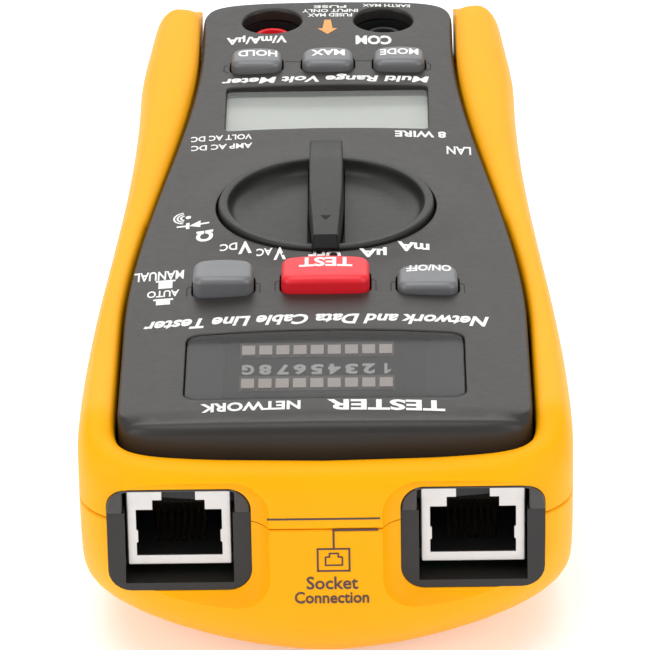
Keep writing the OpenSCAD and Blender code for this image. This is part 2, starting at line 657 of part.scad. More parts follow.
module tilt_stand() {
  y = stand_axis[0];
  z = stand_axis[1];
  color(black) difference() {
    union() {
      block(-stand[0], stand[0], stand[1], y, 0.7, 2.8);
      block(-stand[0], stand[0], stand[1], stand[1] + 3, 0.7, 2.9);
      translate([-stand[0], y, z]) rotate([0, 90, 0]) cylinder(h = 2 * stand[0], r = 1.5);
    }
    translate([-20, y, z]) rotate([0, 90, 0]) cylinder(h = 40, r = pin_r);
    for (i = [0:5]) block(-8, 8, stand[1] + 4 + i * 2.2, stand[1] + 5 + i * 2.2, 0, 1.1);
  }
}
module stand_pin() {
  color(silver) translate([-15.3, stand_axis[0], stand_axis[1]])
    rotate([0, 90, 0]) cylinder(h = 30.6, r = pin_r);
}
module case_screws() {
  color(silver) both_sides() for (xy = boss_xy) translate([xy[0], xy[1], 0]) difference() {
    union() {
      translate([0, 0, 12.8]) cylinder(h = 2.2, r = 2.7);
      translate([0, 0, 15]) cylinder(h = 20, r = 1.5);
    }
    for (a = [0, 90]) rotate([0, 0, a]) block(-1.6, 1.6, -0.3, 0.3, 12, 13.9);
  }
}

front_case();
front_grip();
rear_case();
rear_grip();
pinout_lens();
lcd_window();
lcd_module();
lcd_frame();
lcd_contact_strips();
dial_knob();
dial_rotor();
dial_wipers();
detent_ring();
detent_springs();
detent_balls();
hold_key();
max_key();
mode_key();
upper_switches();
test_key();
test_switch();
auto_manual_key();
auto_manual_switch();
power_key();
power_switch();
main_board();
meter_chips();
led_blocks();
near_leds();
far_leds();
left_jack_shield();
left_jack_insulator();
left_jack_contacts();
right_jack_shield();
right_jack_insulator();
right_jack_contacts();
jack_board();
board_header();
volt_socket();
volt_sleeve();
com_socket();
com_sleeve();
fuse();
fuse_clips();
buzzer();
battery();
battery_snap();
battery_leads();
battery_door();
door_screw();
tilt_stand();
stand_pin();
case_screws();
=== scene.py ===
import math

import bmesh
import bpy
import numpy as np
from mathutils import Matrix, Vector
from mathutils.geometry import delaunay_2d_cdt


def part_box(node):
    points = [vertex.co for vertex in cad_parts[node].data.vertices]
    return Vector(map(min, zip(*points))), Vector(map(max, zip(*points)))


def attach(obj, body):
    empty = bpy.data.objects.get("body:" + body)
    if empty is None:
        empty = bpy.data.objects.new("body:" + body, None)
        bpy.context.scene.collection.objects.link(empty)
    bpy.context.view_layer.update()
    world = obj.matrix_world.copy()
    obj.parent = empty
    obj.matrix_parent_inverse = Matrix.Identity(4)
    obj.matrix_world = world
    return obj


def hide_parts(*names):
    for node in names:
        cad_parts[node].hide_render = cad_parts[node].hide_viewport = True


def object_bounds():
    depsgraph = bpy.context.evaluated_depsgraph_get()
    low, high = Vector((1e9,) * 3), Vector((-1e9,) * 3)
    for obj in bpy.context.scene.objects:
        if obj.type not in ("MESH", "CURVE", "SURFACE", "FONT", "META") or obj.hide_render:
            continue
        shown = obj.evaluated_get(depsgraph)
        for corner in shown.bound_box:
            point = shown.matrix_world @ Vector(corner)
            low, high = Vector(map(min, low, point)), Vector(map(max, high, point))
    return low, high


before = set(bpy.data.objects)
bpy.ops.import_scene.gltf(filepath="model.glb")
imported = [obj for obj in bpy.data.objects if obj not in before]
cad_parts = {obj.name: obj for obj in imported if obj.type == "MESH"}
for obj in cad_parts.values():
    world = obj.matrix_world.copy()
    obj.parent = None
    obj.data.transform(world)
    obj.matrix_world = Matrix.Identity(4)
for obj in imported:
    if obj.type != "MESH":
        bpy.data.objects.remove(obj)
cad_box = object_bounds()
MM = 0.001


# ---------------------------------------------------------------- sizes, in millimetres
def mm_box(node):
    """Lowest and highest corner of a CAD node, in millimetres."""
    lo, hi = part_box(node)
    return np.array(lo) / MM, np.array(hi) / MM


CASE_LO, CASE_HI = (np.array(v) / MM for v in cad_box)
NEAR_Y, FAR_Y = CASE_LO[1], CASE_HI[1]
NEAR_W, FAR_W = CASE_HI[0] - CASE_LO[0], 62.6
CROWN_DROP = 1.3                       # fall of the face 30 mm beside the centre line
FACE_Z = mm_box("front_case")[1][2]    # top of the face on the centre line
SEAM_Z = 27.0                          # between the yellow grips
CASE_SEAM_Z = mm_box("rear_case")[1][2]
LEDGE_Z = 34.0                         # ledge of the front case under the front grip
NEAR_CAP, FAR_CAP = 16.5, 15.7         # lengths of the rounded ends
NEAR_SQUARE, FAR_SQUARE = 3.4, 4.5     # how square the corners of the case are, 2 being an ellipse
PANEL_NEAR_MID, PANEL_NEAR_CAP = -62.0, 13.7
ARCH_HALF = 29.0                       # half width of the arch that the panel's near edge makes
NOTCH_X = 21.4                         # half width of the black end between the rails
RAIL_RISE = 3.6
JACK_X = 21.95                         # middle of each network jack, left and right of the centre line
SURROUND_Z = 23.9                      # middle of the jack surrounds
SURROUND_Y = NEAR_Y + 3
SURROUND = (21.4, 17.0, 3.5)           # width, height, corner radius


def smooth(t):
    u = min(1.0, max(0.0, t))
    return u * u * (3 - 2 * u)


def dip(t):
    """How far a quarter circle's edge has fallen at t from 0 to 1; nothing before 0."""
    return 1 - math.sqrt(max(0.0, 1 - max(0.0, t) ** 2))


def side_w(y):
    """Half width of the case: widest at the jacks, waisted beyond the dial."""
    grow = (NEAR_W - FAR_W) / 2
    return FAR_W / 2 + grow * smooth((43.7 - y) / 110) - 1.8 * smooth((y - 48) / 30)


def panel_w(y):
    """Half width of the face panel."""
    return 21.4 + 9.8 * smooth((64.7 - y) / 104)


def crown(x):
    """Height of the plain face, crowned across."""
    return FACE_Z - CROWN_DROP * (x / 30) ** 2


# ---------------------------------------------------------------- outlines
def half_ring(wide, e, near_mid, near_len, far_mid, far_len, q_near, q_far, steps):
    """Right half of a case outline, from the near end's middle to the far end's."""
    n_near, n_side, n_far = steps
    pts = []
    for i in range(n_near + 1):
        a = math.pi / 2 * i / n_near
        x = math.sin(a) ** q_near * (wide(near_mid) - e)
        pts.append((x, near_mid - math.cos(a) ** q_near * near_len))
    for i in range(1, n_side):
        y = near_mid + (far_mid - near_mid) * i / n_side
        pts.append((wide(y) - e, y))
    for i in range(n_far + 1):
        a = math.pi / 2 * (n_far - i) / n_far
        y = far_mid + max(0.0, math.cos(a)) ** q_far * far_len
        pts.append((math.sin(a) ** q_far * (wide(y) - e), y))
    pts[0], pts[-1] = (0.0, pts[0][1]), (0.0, pts[-1][1])
    return pts


def whole_ring(half):
    return half + [(-x, y) for x, y in half[-2:0:-1]]


RING_STEPS = (36, 70, 30)


def case_ring():
    """The widest outline of the case."""
    return whole_ring(half_ring(side_w, 0, NEAR_Y + NEAR_CAP, NEAR_CAP, FAR_Y - FAR_CAP, FAR_CAP,
                                2 / NEAR_SQUARE, 2 / FAR_SQUARE, RING_STEPS))


def low_ring(z, side_in, near_in, far_in):
    """The rear grip's outline at height z: towards the back its near end grows rounder and longer."""
    k = min(1.0, max(0.0, (SEAM_Z - z) / 25))
    longer = 26 * k ** 3
    half = half_ring(side_w, side_in, NEAR_Y + NEAR_CAP + longer, NEAR_CAP - near_in + longer,
                     FAR_Y - FAR_CAP, max(0.8, FAR_CAP - far_in), 2 / (NEAR_SQUARE - 1.5 * k), 2 / FAR_SQUARE,
                     RING_STEPS)
    return whole_ring(half)


def panel_ring(e):
    """The face panel: its near edge is a shallow arch between tight corners."""
    half = half_ring(panel_w, e, PANEL_NEAR_MID, PANEL_NEAR_CAP - e, FAR_Y - FAR_CAP, FAR_CAP - e,
                     2 / 9, 2 / 7, RING_STEPS)
    return whole_ring([(x, y + (2.3 * (x / ARCH_HALF) ** 2 - 0.5) * smooth((PANEL_NEAR_MID - y) / 7))
                       for x, y in half])


def round_rect(cx, cy, w, h, r, step=10):
    """Counter-clockwise rounded rectangle."""
    pts = []
    for k, (sx, sy) in enumerate(((1, 1), (-1, 1), (-1, -1), (1, -1))):
        for a in range(k * 90, k * 90 + 91, step):
            t = math.radians(a)
            pts.append((cx + sx * (w / 2 - r) + r * math.cos(t), cy + sy * (h / 2 - r) + r * math.sin(t)))
    return pts


def circle(cx, cy, r, n=96):
    turns = [2 * math.pi * i / n for i in range(n)]
    return [(cx + r * math.cos(t), cy + r * math.sin(t)) for t in turns]


def resample(loop, spacing):
    """The same closed outline with points about spacing apart, corners kept by their density."""
    p = np.array(loop)
    seg = np.linalg.norm(np.roll(p, -1, 0) - p, axis=1)
    out = []
    for a, b, s in zip(p, np.roll(p, -1, 0), seg):
        n = max(1, int(round(s / spacing)))
        out += [tuple(a + (b - a) * k / n) for k in range(n)]
    return out


def clean(loop, least=0.02):
    """The closed loop without points that lie closer than least to the one before."""
    out = []
    for p in loop:
        if not out or math.dist(p, out[-1]) > least:
            out.append(p)
    return out[:-1] if math.dist(out[0], out[-1]) < least else out


def shift_in(loop, d):
    """Moves a closed loop to its left by d (one number, or one for each point)."""
    p = np.array(loop)
    t = np.roll(p, -1, 0) - p
    t /= np.linalg.norm(t, axis=1)[:, None]
    n = np.stack([-t[:, 1], t[:, 0]], 1)
    m = n + np.roll(n, 1, 0)
    m /= np.maximum(np.linalg.norm(m, axis=1), 1e-9)[:, None]
    m /= np.maximum(0.5, np.sum(m * n, axis=1))[:, None]
    return p + m * np.broadcast_to(np.asarray(d, float), len(p))[:, None]


def inside(points, loop):
    """Which of the points lie inside the closed loop."""
    p, a = np.asarray(points), np.asarray(loop)
    b = np.roll(a, -1, 0)
    hit = np.zeros(len(p), bool)
    for (x0, y0), (x1, y1) in zip(a, b):
        if y0 != y1:
            level = (y0 > p[:, 1]) != (y1 > p[:, 1])
            hit ^= level & (p[:, 0] < (x1 - x0) * (p[:, 1] - y0) / (y1 - y0) + x0)
    return hit


def area(loop):
    """Area of a loop, above zero when it runs counter-clockwise."""
    p = np.array(loop)
    q = np.roll(p, -1, 0)
    return 0.5 * np.sum(p[:, 0] * q[:, 1] - q[:, 0] * p[:, 1])


# ---------------------------------------------------------------- meshes
def new_piece(name, verts, faces, body, mat, sharp=38, place=None):
    """A closed mesh piece from millimetre points, smooth but for edges over sharp degrees."""
    mesh = bpy.data.meshes.new(name)
    v = np.asarray(verts, float) * MM
    mesh.from_pydata(v.tolist(), [], faces)
    bm = bmesh.new()
    bm.from_mesh(mesh)
    bmesh.ops.remove_doubles(bm, verts=bm.verts, dist=2e-6)
    bmesh.ops.dissolve_degenerate(bm, edges=bm.edges, dist=1e-7)
    bmesh.ops.recalc_face_normals(bm, faces=bm.faces)
    if bm.calc_volume(signed=True) < 0:
        bmesh.ops.reverse_faces(bm, faces=bm.faces)
    if place is not None:
        bm.transform(place)
    set_sharp(bm, sharp)
    bm.to_mesh(mesh)
    bm.free()
    obj = bpy.data.objects.new(name, mesh)
    bpy.context.scene.collection.objects.link(obj)
    mesh.materials.append(mat)
    if body:
        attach(obj, body)
    return obj


def set_sharp(bm, degrees):
    limit = math.radians(degrees)
    for f in bm.faces:
        f.smooth = True
    for e in bm.edges:
        e.smooth = len(e.link_faces) == 2 and e.calc_face_angle(0.0) < limit


def strip(rows, verts, faces):
    """Joins closed rows of points, each as long as the last, with quads."""
    start = len(verts)
    n = len(rows[0])
    for row in rows:
        verts += [tuple(p) for p in row]
    for k in range(len(rows) - 1):
        a, b = start + k * n, start + (k + 1) * n
        faces += [(a + i, a + (i + 1) % n, b + (i + 1) % n, b + i) for i in range(n)]


def loft(name, rows, body, mat, sharp=38):
    """A solid through closed rows of points, capped at both ends."""
    verts, faces = [], []
    strip(rows, verts, faces)
    n = len(rows[0])
    faces += [tuple(range(n)), tuple(range(len(verts) - n, len(verts)))]
    return new_piece(name, verts, faces, body, mat, sharp)


def within(points, loops):
    """Which of the points lie inside the first loop and outside the others."""
    keep = inside(points, loops[0])
    for loop in loops[1:]:
        keep &= ~inside(points, loop)
    return keep


def fill(loops, z_of, spacing, verts, faces, up=True):
    """Fills the first loop, less the others, with triangles at height z_of(x, y)."""
    pts, edges = [], []
    for loop in loops:
        s = len(pts)
        pts += [tuple(p) for p in loop]
        edges += [(s + i, s + (i + 1) % len(loop)) for i in range(len(loop))]
    rim = np.array(pts)
    if spacing:
        lo, hi = rim.min(0), rim.max(0)
        gx, gy = np.meshgrid(np.arange(lo[0] + spacing / 2, hi[0], spacing),
                             np.arange(lo[1] + spacing / 2, hi[1], spacing))
        grid = np.stack([gx.ravel(), gy.ravel()], 1)
        grid = grid[within(grid, loops)]
        pts += [tuple(g) for g in grid if np.min(np.sum((rim - g) ** 2, axis=1)) > (0.45 * spacing) ** 2]
    out = delaunay_2d_cdt([Vector(p) for p in pts], edges, [], 0, 1e-6)
    xy = np.array([(v.x, v.y) for v in out[0]])
    tris = [f for f in out[2] if len(f) == 3]
    mid = np.array([xy[list(f)].mean(0) for f in tris])
    s = len(verts)
    verts += [(x, y, z_of(x, y)) for x, y in xy]
    for f, kept in zip(tris, within(mid, loops)):
        if kept:
            faces.append(tuple(s + i for i in (f if up else f[::-1])))


def plate(name, outer, body, mat, top, bottom, edge=0.4, holes=(), hole_edge=0.25, spacing=1.5,
          steps=5, place=None, sharp=38, skirt=None, draft=None):
    """A solid plate: a rounded top edge round the outer loop and round each hole, and a closed bottom.

    top and bottom are heights or functions of x, y; edge may be a list with one radius for each point.
    skirt (height, thickness) carries the outer wall down past the bottom as a hollow rim, and draft, one
    number for each point, leans that wall in.
    """
    z_top = top if callable(top) else (lambda x, y: top)
    z_bot = bottom if callable(bottom) else (lambda x, y: bottom)
    verts, faces, inner, base = [], [], [], []
    hole_edges = hole_edge if isinstance(hole_edge, (list, tuple)) else [hole_edge] * len(holes)
    for k, loop in enumerate([outer, *holes]):
        loop = list(loop)
        if (area(loop) > 0) == (k > 0):
            loop = loop[::-1]
        r = np.broadcast_to(np.asarray(edge if k == 0 else hole_edges[k - 1], float), len(loop))
        rows = [[(x, y, z_bot(x, y)) for x, y in loop]]
        under = loop
        if skirt and k == 0:
            under = [tuple(p) for p in shift_in(loop, skirt[1])]
            rows = [[(x, y, z_bot(x, y)) for x, y in under], [(x, y, skirt[0]) for x, y in under],
                    [(x, y, skirt[0]) for x, y in loop]]
        for i in range(steps + 1):
            a = math.pi / 2 * i / steps
            lean = np.asarray(draft) if draft is not None and k == 0 else 0.0
            ring = shift_in(loop, r * (1 - math.cos(a)) + lean)
            rows.append([(x, y, z_top(x, y) - q * (1 - math.sin(a))) for (x, y), q in zip(ring, r)])
        strip(rows, verts, faces)
        inner.append([(p[0], p[1]) for p in rows[-1]])
        base.append(under)
    fill(inner, z_top, spacing, verts, faces)
    fill(base, z_bot, 0, verts, faces, up=False)
    return new_piece(name, verts, faces, body, mat, sharp, place)


def revolve(name, profile, body, mat, centre=(0, 0), n=128):
    """A solid of revolution about an upright line; profile is a list of (radius, height)."""
    verts, faces = [], []
    strip([[(x, y, z) for x, y in circle(*centre, r, n)] for r, z in profile], verts, faces)
    return new_piece(name, verts, faces, body, mat, 30)


def cut(obj, cutter):
    """Takes the cutter away from the piece and drops the cutter."""
    mod = obj.modifiers.new("cut", "BOOLEAN")
    mod.operation, mod.object, mod.solver = "DIFFERENCE", cutter, "EXACT"
    bpy.context.view_layer.update()
    done = bpy.data.meshes.new_from_object(obj.evaluated_get(bpy.context.evaluated_depsgraph_get()))
    obj.modifiers.remove(mod)
    old = obj.data
    obj.data = done
    bpy.data.meshes.remove(old)
    bpy.data.objects.remove(cutter)


def resharpen(obj, degrees):
    bm = bmesh.new()
    bm.from_mesh(obj.data)
    bmesh.ops.dissolve_degenerate(bm, edges=bm.edges, dist=1e-7)
    set_sharp(bm, degrees)
    bm.to_mesh(obj.data)
    bm.free()


# ---------------------------------------------------------------- materials
def nodes_of(name):
    mat = bpy.data.materials.new(name)
    mat.use_nodes = True
    nt = mat.node_tree
    return mat, nt, nt.nodes["Principled BSDF"]


def add(nt, kind, **values):
    node = nt.nodes.new(kind)
    for key, value in values.items():
        if key in node.inputs:
            node.inputs[key].default_value = value
        else:
            setattr(node, key, value)
    return node


def tint(nt, bsdf, fac, low, high, stops=(0.0, 1.0)):
    """Base colour that runs from low to high with fac."""
    ramp = add(nt, "ShaderNodeValToRGB")
    for element, stop, color in zip(ramp.color_ramp.elements, stops, (low, high)):
        element.position, element.color = stop, (*color, 1)
    nt.links.new(fac, ramp.inputs["Fac"])
    nt.links.new(ramp.outputs["Color"], bsdf.inputs["Base Color"])


def polish(nt, bsdf, fac, low, high):
    """Roughness that runs from low to high with fac."""
    spread = add(nt, "ShaderNodeMapRange")
    spread.inputs["To Min"].default_value, spread.inputs["To Max"].default_value = low, high
    nt.links.new(fac, spread.inputs["Value"])
    nt.links.new(spread.outputs["Result"], bsdf.inputs["Roughness"])


def emboss(nt, bsdf, height, strength, depth):
    """Bump up to depth millimetres, raised by height."""
    bump = add(nt, "ShaderNodeBump", Strength=strength, Distance=depth * MM)
    nt.links.new(height, bump.inputs["Height"])
    nt.links.new(bump.outputs["Normal"], bsdf.inputs["Normal"])


def plastic(name, color, rough=0.45, grain=0.012, grain_scale=3200.0, vary=0.06, ior=1.5, coat=0.0,
            subsurface=0.0, blotch=60.0, spec=0.5):
    """Moulded plastic: two sizes of grain in the bump, a little drift in colour and roughness."""
    mat, nt, bsdf = nodes_of(name)
    coord = add(nt, "ShaderNodeTexCoord")
    drift = add(nt, "ShaderNodeTexNoise", Scale=blotch, Detail=3.0)
    fine = add(nt, "ShaderNodeTexNoise", Scale=grain_scale, Detail=2.0)
    coarse = add(nt, "ShaderNodeTexNoise", Scale=grain_scale * 0.3, Detail=2.0)
    for tex in (drift, fine, coarse):
        nt.links.new(coord.outputs["Object"], tex.inputs["Vector"])
    tint(nt, bsdf, drift.outputs["Fac"], [c * (1 - vary) for c in color],
         [min(1.0, c * (1 + vary)) for c in color], (0.35, 0.65))
    polish(nt, bsdf, coarse.outputs["Fac"], rough - 0.05, rough + 0.06)
    mix = add(nt, "ShaderNodeMath", operation="ADD")
    nt.links.new(fine.outputs["Fac"], mix.inputs[0])
    nt.links.new(coarse.outputs["Fac"], mix.inputs[1])
    emboss(nt, bsdf, mix.outputs[0], 1.0, grain)
    bsdf.inputs["IOR"].default_value = ior
    bsdf.inputs["Specular IOR Level"].default_value = spec
    bsdf.inputs["Coat Weight"].default_value = coat
    bsdf.inputs["Coat Roughness"].default_value = 0.12
    if subsurface:
        bsdf.inputs["Subsurface Weight"].default_value = subsurface
        bsdf.inputs["Subsurface Radius"].default_value = (0.003, 0.0015, 0.0005)
        bsdf.inputs["Subsurface Scale"].default_value = 0.5
    return mat


def metal(name, color, rough=0.3):
    """Sheet or turned metal with fine streaks along Y and a soft mottle."""
    mat, nt, bsdf = nodes_of(name)
    coord = add(nt, "ShaderNodeTexCoord")
    stretch = add(nt, "ShaderNodeMapping", Scale=(900.0, 40.0, 900.0))
    lines = add(nt, "ShaderNodeTexNoise", Scale=1.0, Detail=4.0)
    mottle = add(nt, "ShaderNodeTexNoise", Scale=400.0, Detail=3.0)
    nt.links.new(coord.outputs["Object"], stretch.inputs["Vector"])
    nt.links.new(stretch.outputs["Vector"], lines.inputs["Vector"])
    nt.links.new(coord.outputs["Object"], mottle.inputs["Vector"])
    tint(nt, bsdf, mottle.outputs["Fac"], [c * 0.86 for c in color], color)
    polish(nt, bsdf, lines.outputs["Fac"], rough - 0.06, rough + 0.1)
    emboss(nt, bsdf, lines.outputs["Fac"], 0.6, 0.004)
    bsdf.inputs["Metallic"].default_value = 1.0
    return mat


def clear(name, color, rough, alpha):
    """Polished window plastic with faint haze marks; alpha is how much it hides what is behind."""
    mat, nt, bsdf = nodes_of(name)
    coord = add(nt, "ShaderNodeTexCoord")
    haze = add(nt, "ShaderNodeTexNoise", Scale=160.0, Detail=5.0)
    nt.links.new(coord.outputs["Object"], haze.inputs["Vector"])
    tint(nt, bsdf, haze.outputs["Fac"], [c * 0.92 for c in color], color)
    polish(nt, bsdf, haze.outputs["Fac"], rough, rough + 0.07)
    bsdf.inputs["Alpha"].default_value = alpha
    return mat


def board_material(name):
    """Green solder resist over faint copper tracks."""
    mat, nt, bsdf = nodes_of(name)
    coord = add(nt, "ShaderNodeTexCoord")
    tracks = add(nt, "ShaderNodeTexBrick", Scale=320.0)
    tracks.inputs["Color1"].default_value = (0.012, 0.15, 0.05, 1)
    tracks.inputs["Color2"].default_value = (0.016, 0.19, 0.07, 1)
    tracks.inputs["Mortar"].default_value = (0.05, 0.3, 0.12, 1)
    nt.links.new(coord.outputs["Object"], tracks.inputs["Vector"])
    nt.links.new(tracks.outputs["Color"], bsdf.inputs["Base Color"])
    emboss(nt, bsdf, tracks.outputs["Fac"], 0.4, 0.03)
    bsdf.inputs["Roughness"].default_value = 0.3
    return mat


BLACK = plastic("case_black", (0.024, 0.0212, 0.0186), rough=0.4, grain=0.018, grain_scale=2600.0, ior=1.42)
YELLOW = plastic("grip_yellow", (1.0, 0.42, 0.0), rough=0.45, grain=0.006, grain_scale=2400.0, vary=0.015,
                 subsurface=0.08, spec=0.15)
DIAL = plastic("dial_grey", (0.018, 0.018, 0.015), rough=0.42, grain=0.012, grain_scale=3000.0, spec=0.36)
KEY_GREY = plastic("key_grey", (0.14, 0.143, 0.15), rough=0.38, grain=0.006, spec=0.85)
TEST_RED = plastic("test_red", (0.86, 0.012, 0.025), rough=0.38, grain=0.004, vary=0.02)
WHITE_INK = plastic("white_ink", (0.86, 0.86, 0.84), rough=0.5, grain=0.003, vary=0.03)
BROWN_INK = plastic("brown_ink", (0.07, 0.035, 0.03), rough=0.5, grain=0.003)
ORANGE_INK = plastic("orange_ink", (0.8, 0.34, 0.08), rough=0.5, grain=0.003)
# Near-black colour with little sheen: the printed dial arrow, plus painted shade on the pointer's steep tip
# and in the grooves round the keys
DARK_INK_AND_SHADE = plastic("dark_ink_and_painted_shade", (0.006, 0.006, 0.006), rough=0.5, grain=0.003, spec=0.15)
SURROUND_BLACK = plastic("surround_black", (0.05, 0.045, 0.041), rough=0.45, grain=0.014, grain_scale=2600.0)
PART_BLACK = plastic("part_black", (0.016, 0.015, 0.015), rough=0.4, grain=0.006)
PART_WHITE = plastic("part_white", (0.75, 0.74, 0.7), rough=0.45, grain=0.006)
LENS = clear("tinted_lens", (0.03, 0.028, 0.026), rough=0.16, alpha=0.3)
WINDOW = clear("clear_window", (0.85, 0.88, 0.86), rough=0.04, alpha=0.12)
LCD = plastic("lcd_glass", (0.33, 0.35, 0.31), rough=0.22, grain=0.0005, grain_scale=900.0, vary=0.03,
              blotch=18.0)
LED_BED = plastic("led_housing", (0.2, 0.19, 0.18), rough=0.5, grain=0.005)
LED = plastic("led_lens", (0.44, 0.39, 0.36), rough=0.3, grain=0.004, vary=0.05)
SHIELD = metal("jack_shield", (0.7, 0.66, 0.61), rough=0.34)
STEEL = metal("steel", (0.6, 0.6, 0.58), rough=0.28)
GOLD = metal("gold", (0.95, 0.62, 0.25), rough=0.22)
BOARD = board_material("circuit_board")
BATTERY = plastic("battery_jacket", (0.06, 0.12, 0.22), rough=0.35, grain=0.004, coat=0.3)
CAD_LOOKS = {
    "lcd_module": LCD, "lcd_frame": PART_WHITE, "lcd_contact_strips": PART_BLACK, "dial_rotor": PART_WHITE,
    "dial_wipers": GOLD, "detent_ring": PART_WHITE, "detent_springs": STEEL, "detent_balls": STEEL,
    "upper_switches": PART_BLACK, "test_switch": PART_BLACK, "auto_manual_switch": PART_BLACK,
    "power_switch": PART_BLACK, "main_board": BOARD, "meter_chips": PART_BLACK, "led_blocks": LED_BED,
    "near_leds": LED, "far_leds": LED, "left_jack_insulator": PART_BLACK, "left_jack_contacts": GOLD,
    "right_jack_insulator": PART_BLACK, "right_jack_contacts": GOLD, "jack_board": BOARD,
    "board_header": PART_BLACK, "volt_socket": TEST_RED, "volt_sleeve": GOLD, "com_socket": PART_BLACK,
    "com_sleeve": GOLD, "fuse": PART_WHITE, "fuse_clips": STEEL, "buzzer": PART_BLACK, "battery": BATTERY,
    "battery_snap": PART_BLACK, "battery_leads": PART_BLACK, "door_screw": STEEL, "stand_pin": STEEL,
    "case_screws": STEEL, "rear_case": BLACK, "battery_door": BLACK, "tilt_stand": BLACK,
    "lcd_window": WINDOW, "left_jack_shield": SHIELD, "right_jack_shield": SHIELD}


def dress_cad():
    """Better materials on the CAD nodes that stay."""
    for name, mat in CAD_LOOKS.items():
        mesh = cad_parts[name].data
        mesh.materials.clear()
        mesh.materials.append(mat)


# ---------------------------------------------------------------- the face panel
DIAL_R = 17.24
KEYS = {                               # width and length of each key's cap
    "hold_key": (8.5, 5.4), "max_key": (8.6, 5.4), "mode_key": (8.6, 5.4), "auto_manual_key": (9.4, 6.3),
    "test_key": (13.7, 7.2), "power_key": (9.4, 6.3)}


def middle(node):
    lo, hi = mm_box(node)
    return (lo + hi) / 2


def face(x, y):
    """Height of the face: crowned, with a soft swell round the dial and a groove along the near edge."""
    r = math.hypot(x, y)
    swell = 0.5 * math.exp(-((r - DIAL_R - 0.5) / 3.5) ** 2) * smooth((r - DIAL_R + 4) / 3)
    dent = 0.3 * math.exp(-((y + 72.6 - 1.5 * (x / ARCH_HALF) ** 2) / 0.9) ** 2)
    return crown(x) + swell - dent


def key_loop(node, grow, corner=1.5, bow=0.35):
    """A key's outline, its long edges bowed out a little."""
    c = middle(node)
    w, d = KEYS[node]
    loop = resample(round_rect(c[0], c[1], w + 2 * grow, d + 2 * grow, corner + grow * 0.6), 0.5)
    out = []
    for x, y in loop:
        u = (x - c[0]) / (w / 2 + grow)
        v = (y - c[1]) / (d / 2 + grow)
        out.append((x, y + bow * v * (1 - u * u)))
    return out


def make_panel():
    """The black face panel with its openings and a rim down to the seam of the case."""
    ring = clean(panel_ring(0))
    edge = [0.6 + 1.4 * smooth((-68 - y) / 4) for x, y in ring]
    draft = [0.1 + (0.7 - 0.5 * (x / ARCH_HALF) ** 2) * smooth((-66 - y) / 6) for x, y in ring]
    lcd_c = middle("lcd_window")
    holes = [resample(round_rect(lcd_c[0], lcd_c[1], 33.5, 17.1, 1.0), 1.0), circle(0, 0, DIAL_R + 0.4, 160),
             bowed_lens(0.0)]
    edges = [0.35, 0.2, 0.3]
    for node in KEYS:
        holes.append(key_loop(node, 0.22))
        edges.append(0.2)
    for node in ("volt_socket", "com_socket"):
        holes.append(circle(*middle(node)[:2], 5.0))
        edges.append(0.6)
    panel = plate("face_panel", ring, "case", BLACK, face, lambda x, y: crown(x) - 2.0,
                  edge=edge, holes=holes, hole_edge=edges, spacing=1.4, steps=8,
                  skirt=(CASE_SEAM_Z + 0.1, 2.6), draft=draft)
    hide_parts("front_case")


def bowed_lens(grow):
    """Outline of the tinted window, its long edges bowed out."""
    c = middle("pinout_lens")
    w, d = 42.6 + 2 * grow, 21.4 + 2 * grow
    out = []
    for x, y in resample(round_rect(c[0], c[1], w, d, 2.2 + grow), 1.0):
        u, v = (x - c[0]) / (w / 2), (y - c[1]) / (d / 2)
        out.append((x, y + v * (0.9 if v < 0 else 0.4) * (1 - u * u)))
    return out


# ---------------------------------------------------------------- grips
def band(name, rows, body, mat):
    """A closed tube from one closed cross-section for each point round the case."""
    verts, faces = [], []
    cols = [[row[k] for row in rows] for k in range(len(rows[0]))]
    strip(cols + [cols[0]], verts, faces)
    return new_piece(name, verts, faces, body, mat, 40)


def nose_drop(y):
    """How far the front grip falls in front of the panel."""
    return 3.3 * smooth((-66 - y) / 9)


def rail_z(y):
    """Top of the front grip: rails that rise towards the far end and end in a slope."""
    return FACE_Z - CROWN_DROP + RAIL_RISE * smooth((y + 20) / 90) - nose_drop(y) - 5 * smooth((y - 72) / 12)


def mouth_cutter(side):
    """A scoop round one jack surround: a tunnel that flares towards the near face."""
    cx = side * JACK_X
    w, h, r = SURROUND
    rows = []
    flare = [(-70.0, 0.1), (-79.3, 0.1), (-79.5, 0.5), (-79.9, 1.05), (-80.5, 1.6), (-81.3, 2.1),
             (-82.3, 2.5), (-84.5, 3.2)]
    for y, grow in flare:
        inner = side * grow * 0.15
        loop = round_rect(0, 0, w + 2 * grow, h + 2 * grow, r + grow * 0.8, 6)
        rows.append([(cx - inner + x, y, SURROUND_Z + z) for x, z in loop])
    return loft("cutter", rows, None, BLACK)


def box_cutter(lo, hi):
    verts = [(x, y, z) for z in (lo[2], hi[2]) for y in (lo[1], hi[1]) for x in (lo[0], hi[0])]
    faces = [(0, 2, 3, 1), (4, 5, 7, 6), (0, 1, 5, 4), (2, 6, 7, 3), (0, 4, 6, 2), (1, 3, 7, 5)]
    return new_piece("cutter", verts, faces, None, BLACK)


def finish_grip(obj):
    """Cuts the jack mouths and the gap for the black far end."""
    for side in (-1, 1):
        cut(obj, mouth_cutter(side))
    cut(obj, box_cutter((-NOTCH_X - 0.2, 72, -1), (NOTCH_X + 0.2, FAR_Y + 5, 60)))
    resharpen(obj, 35)


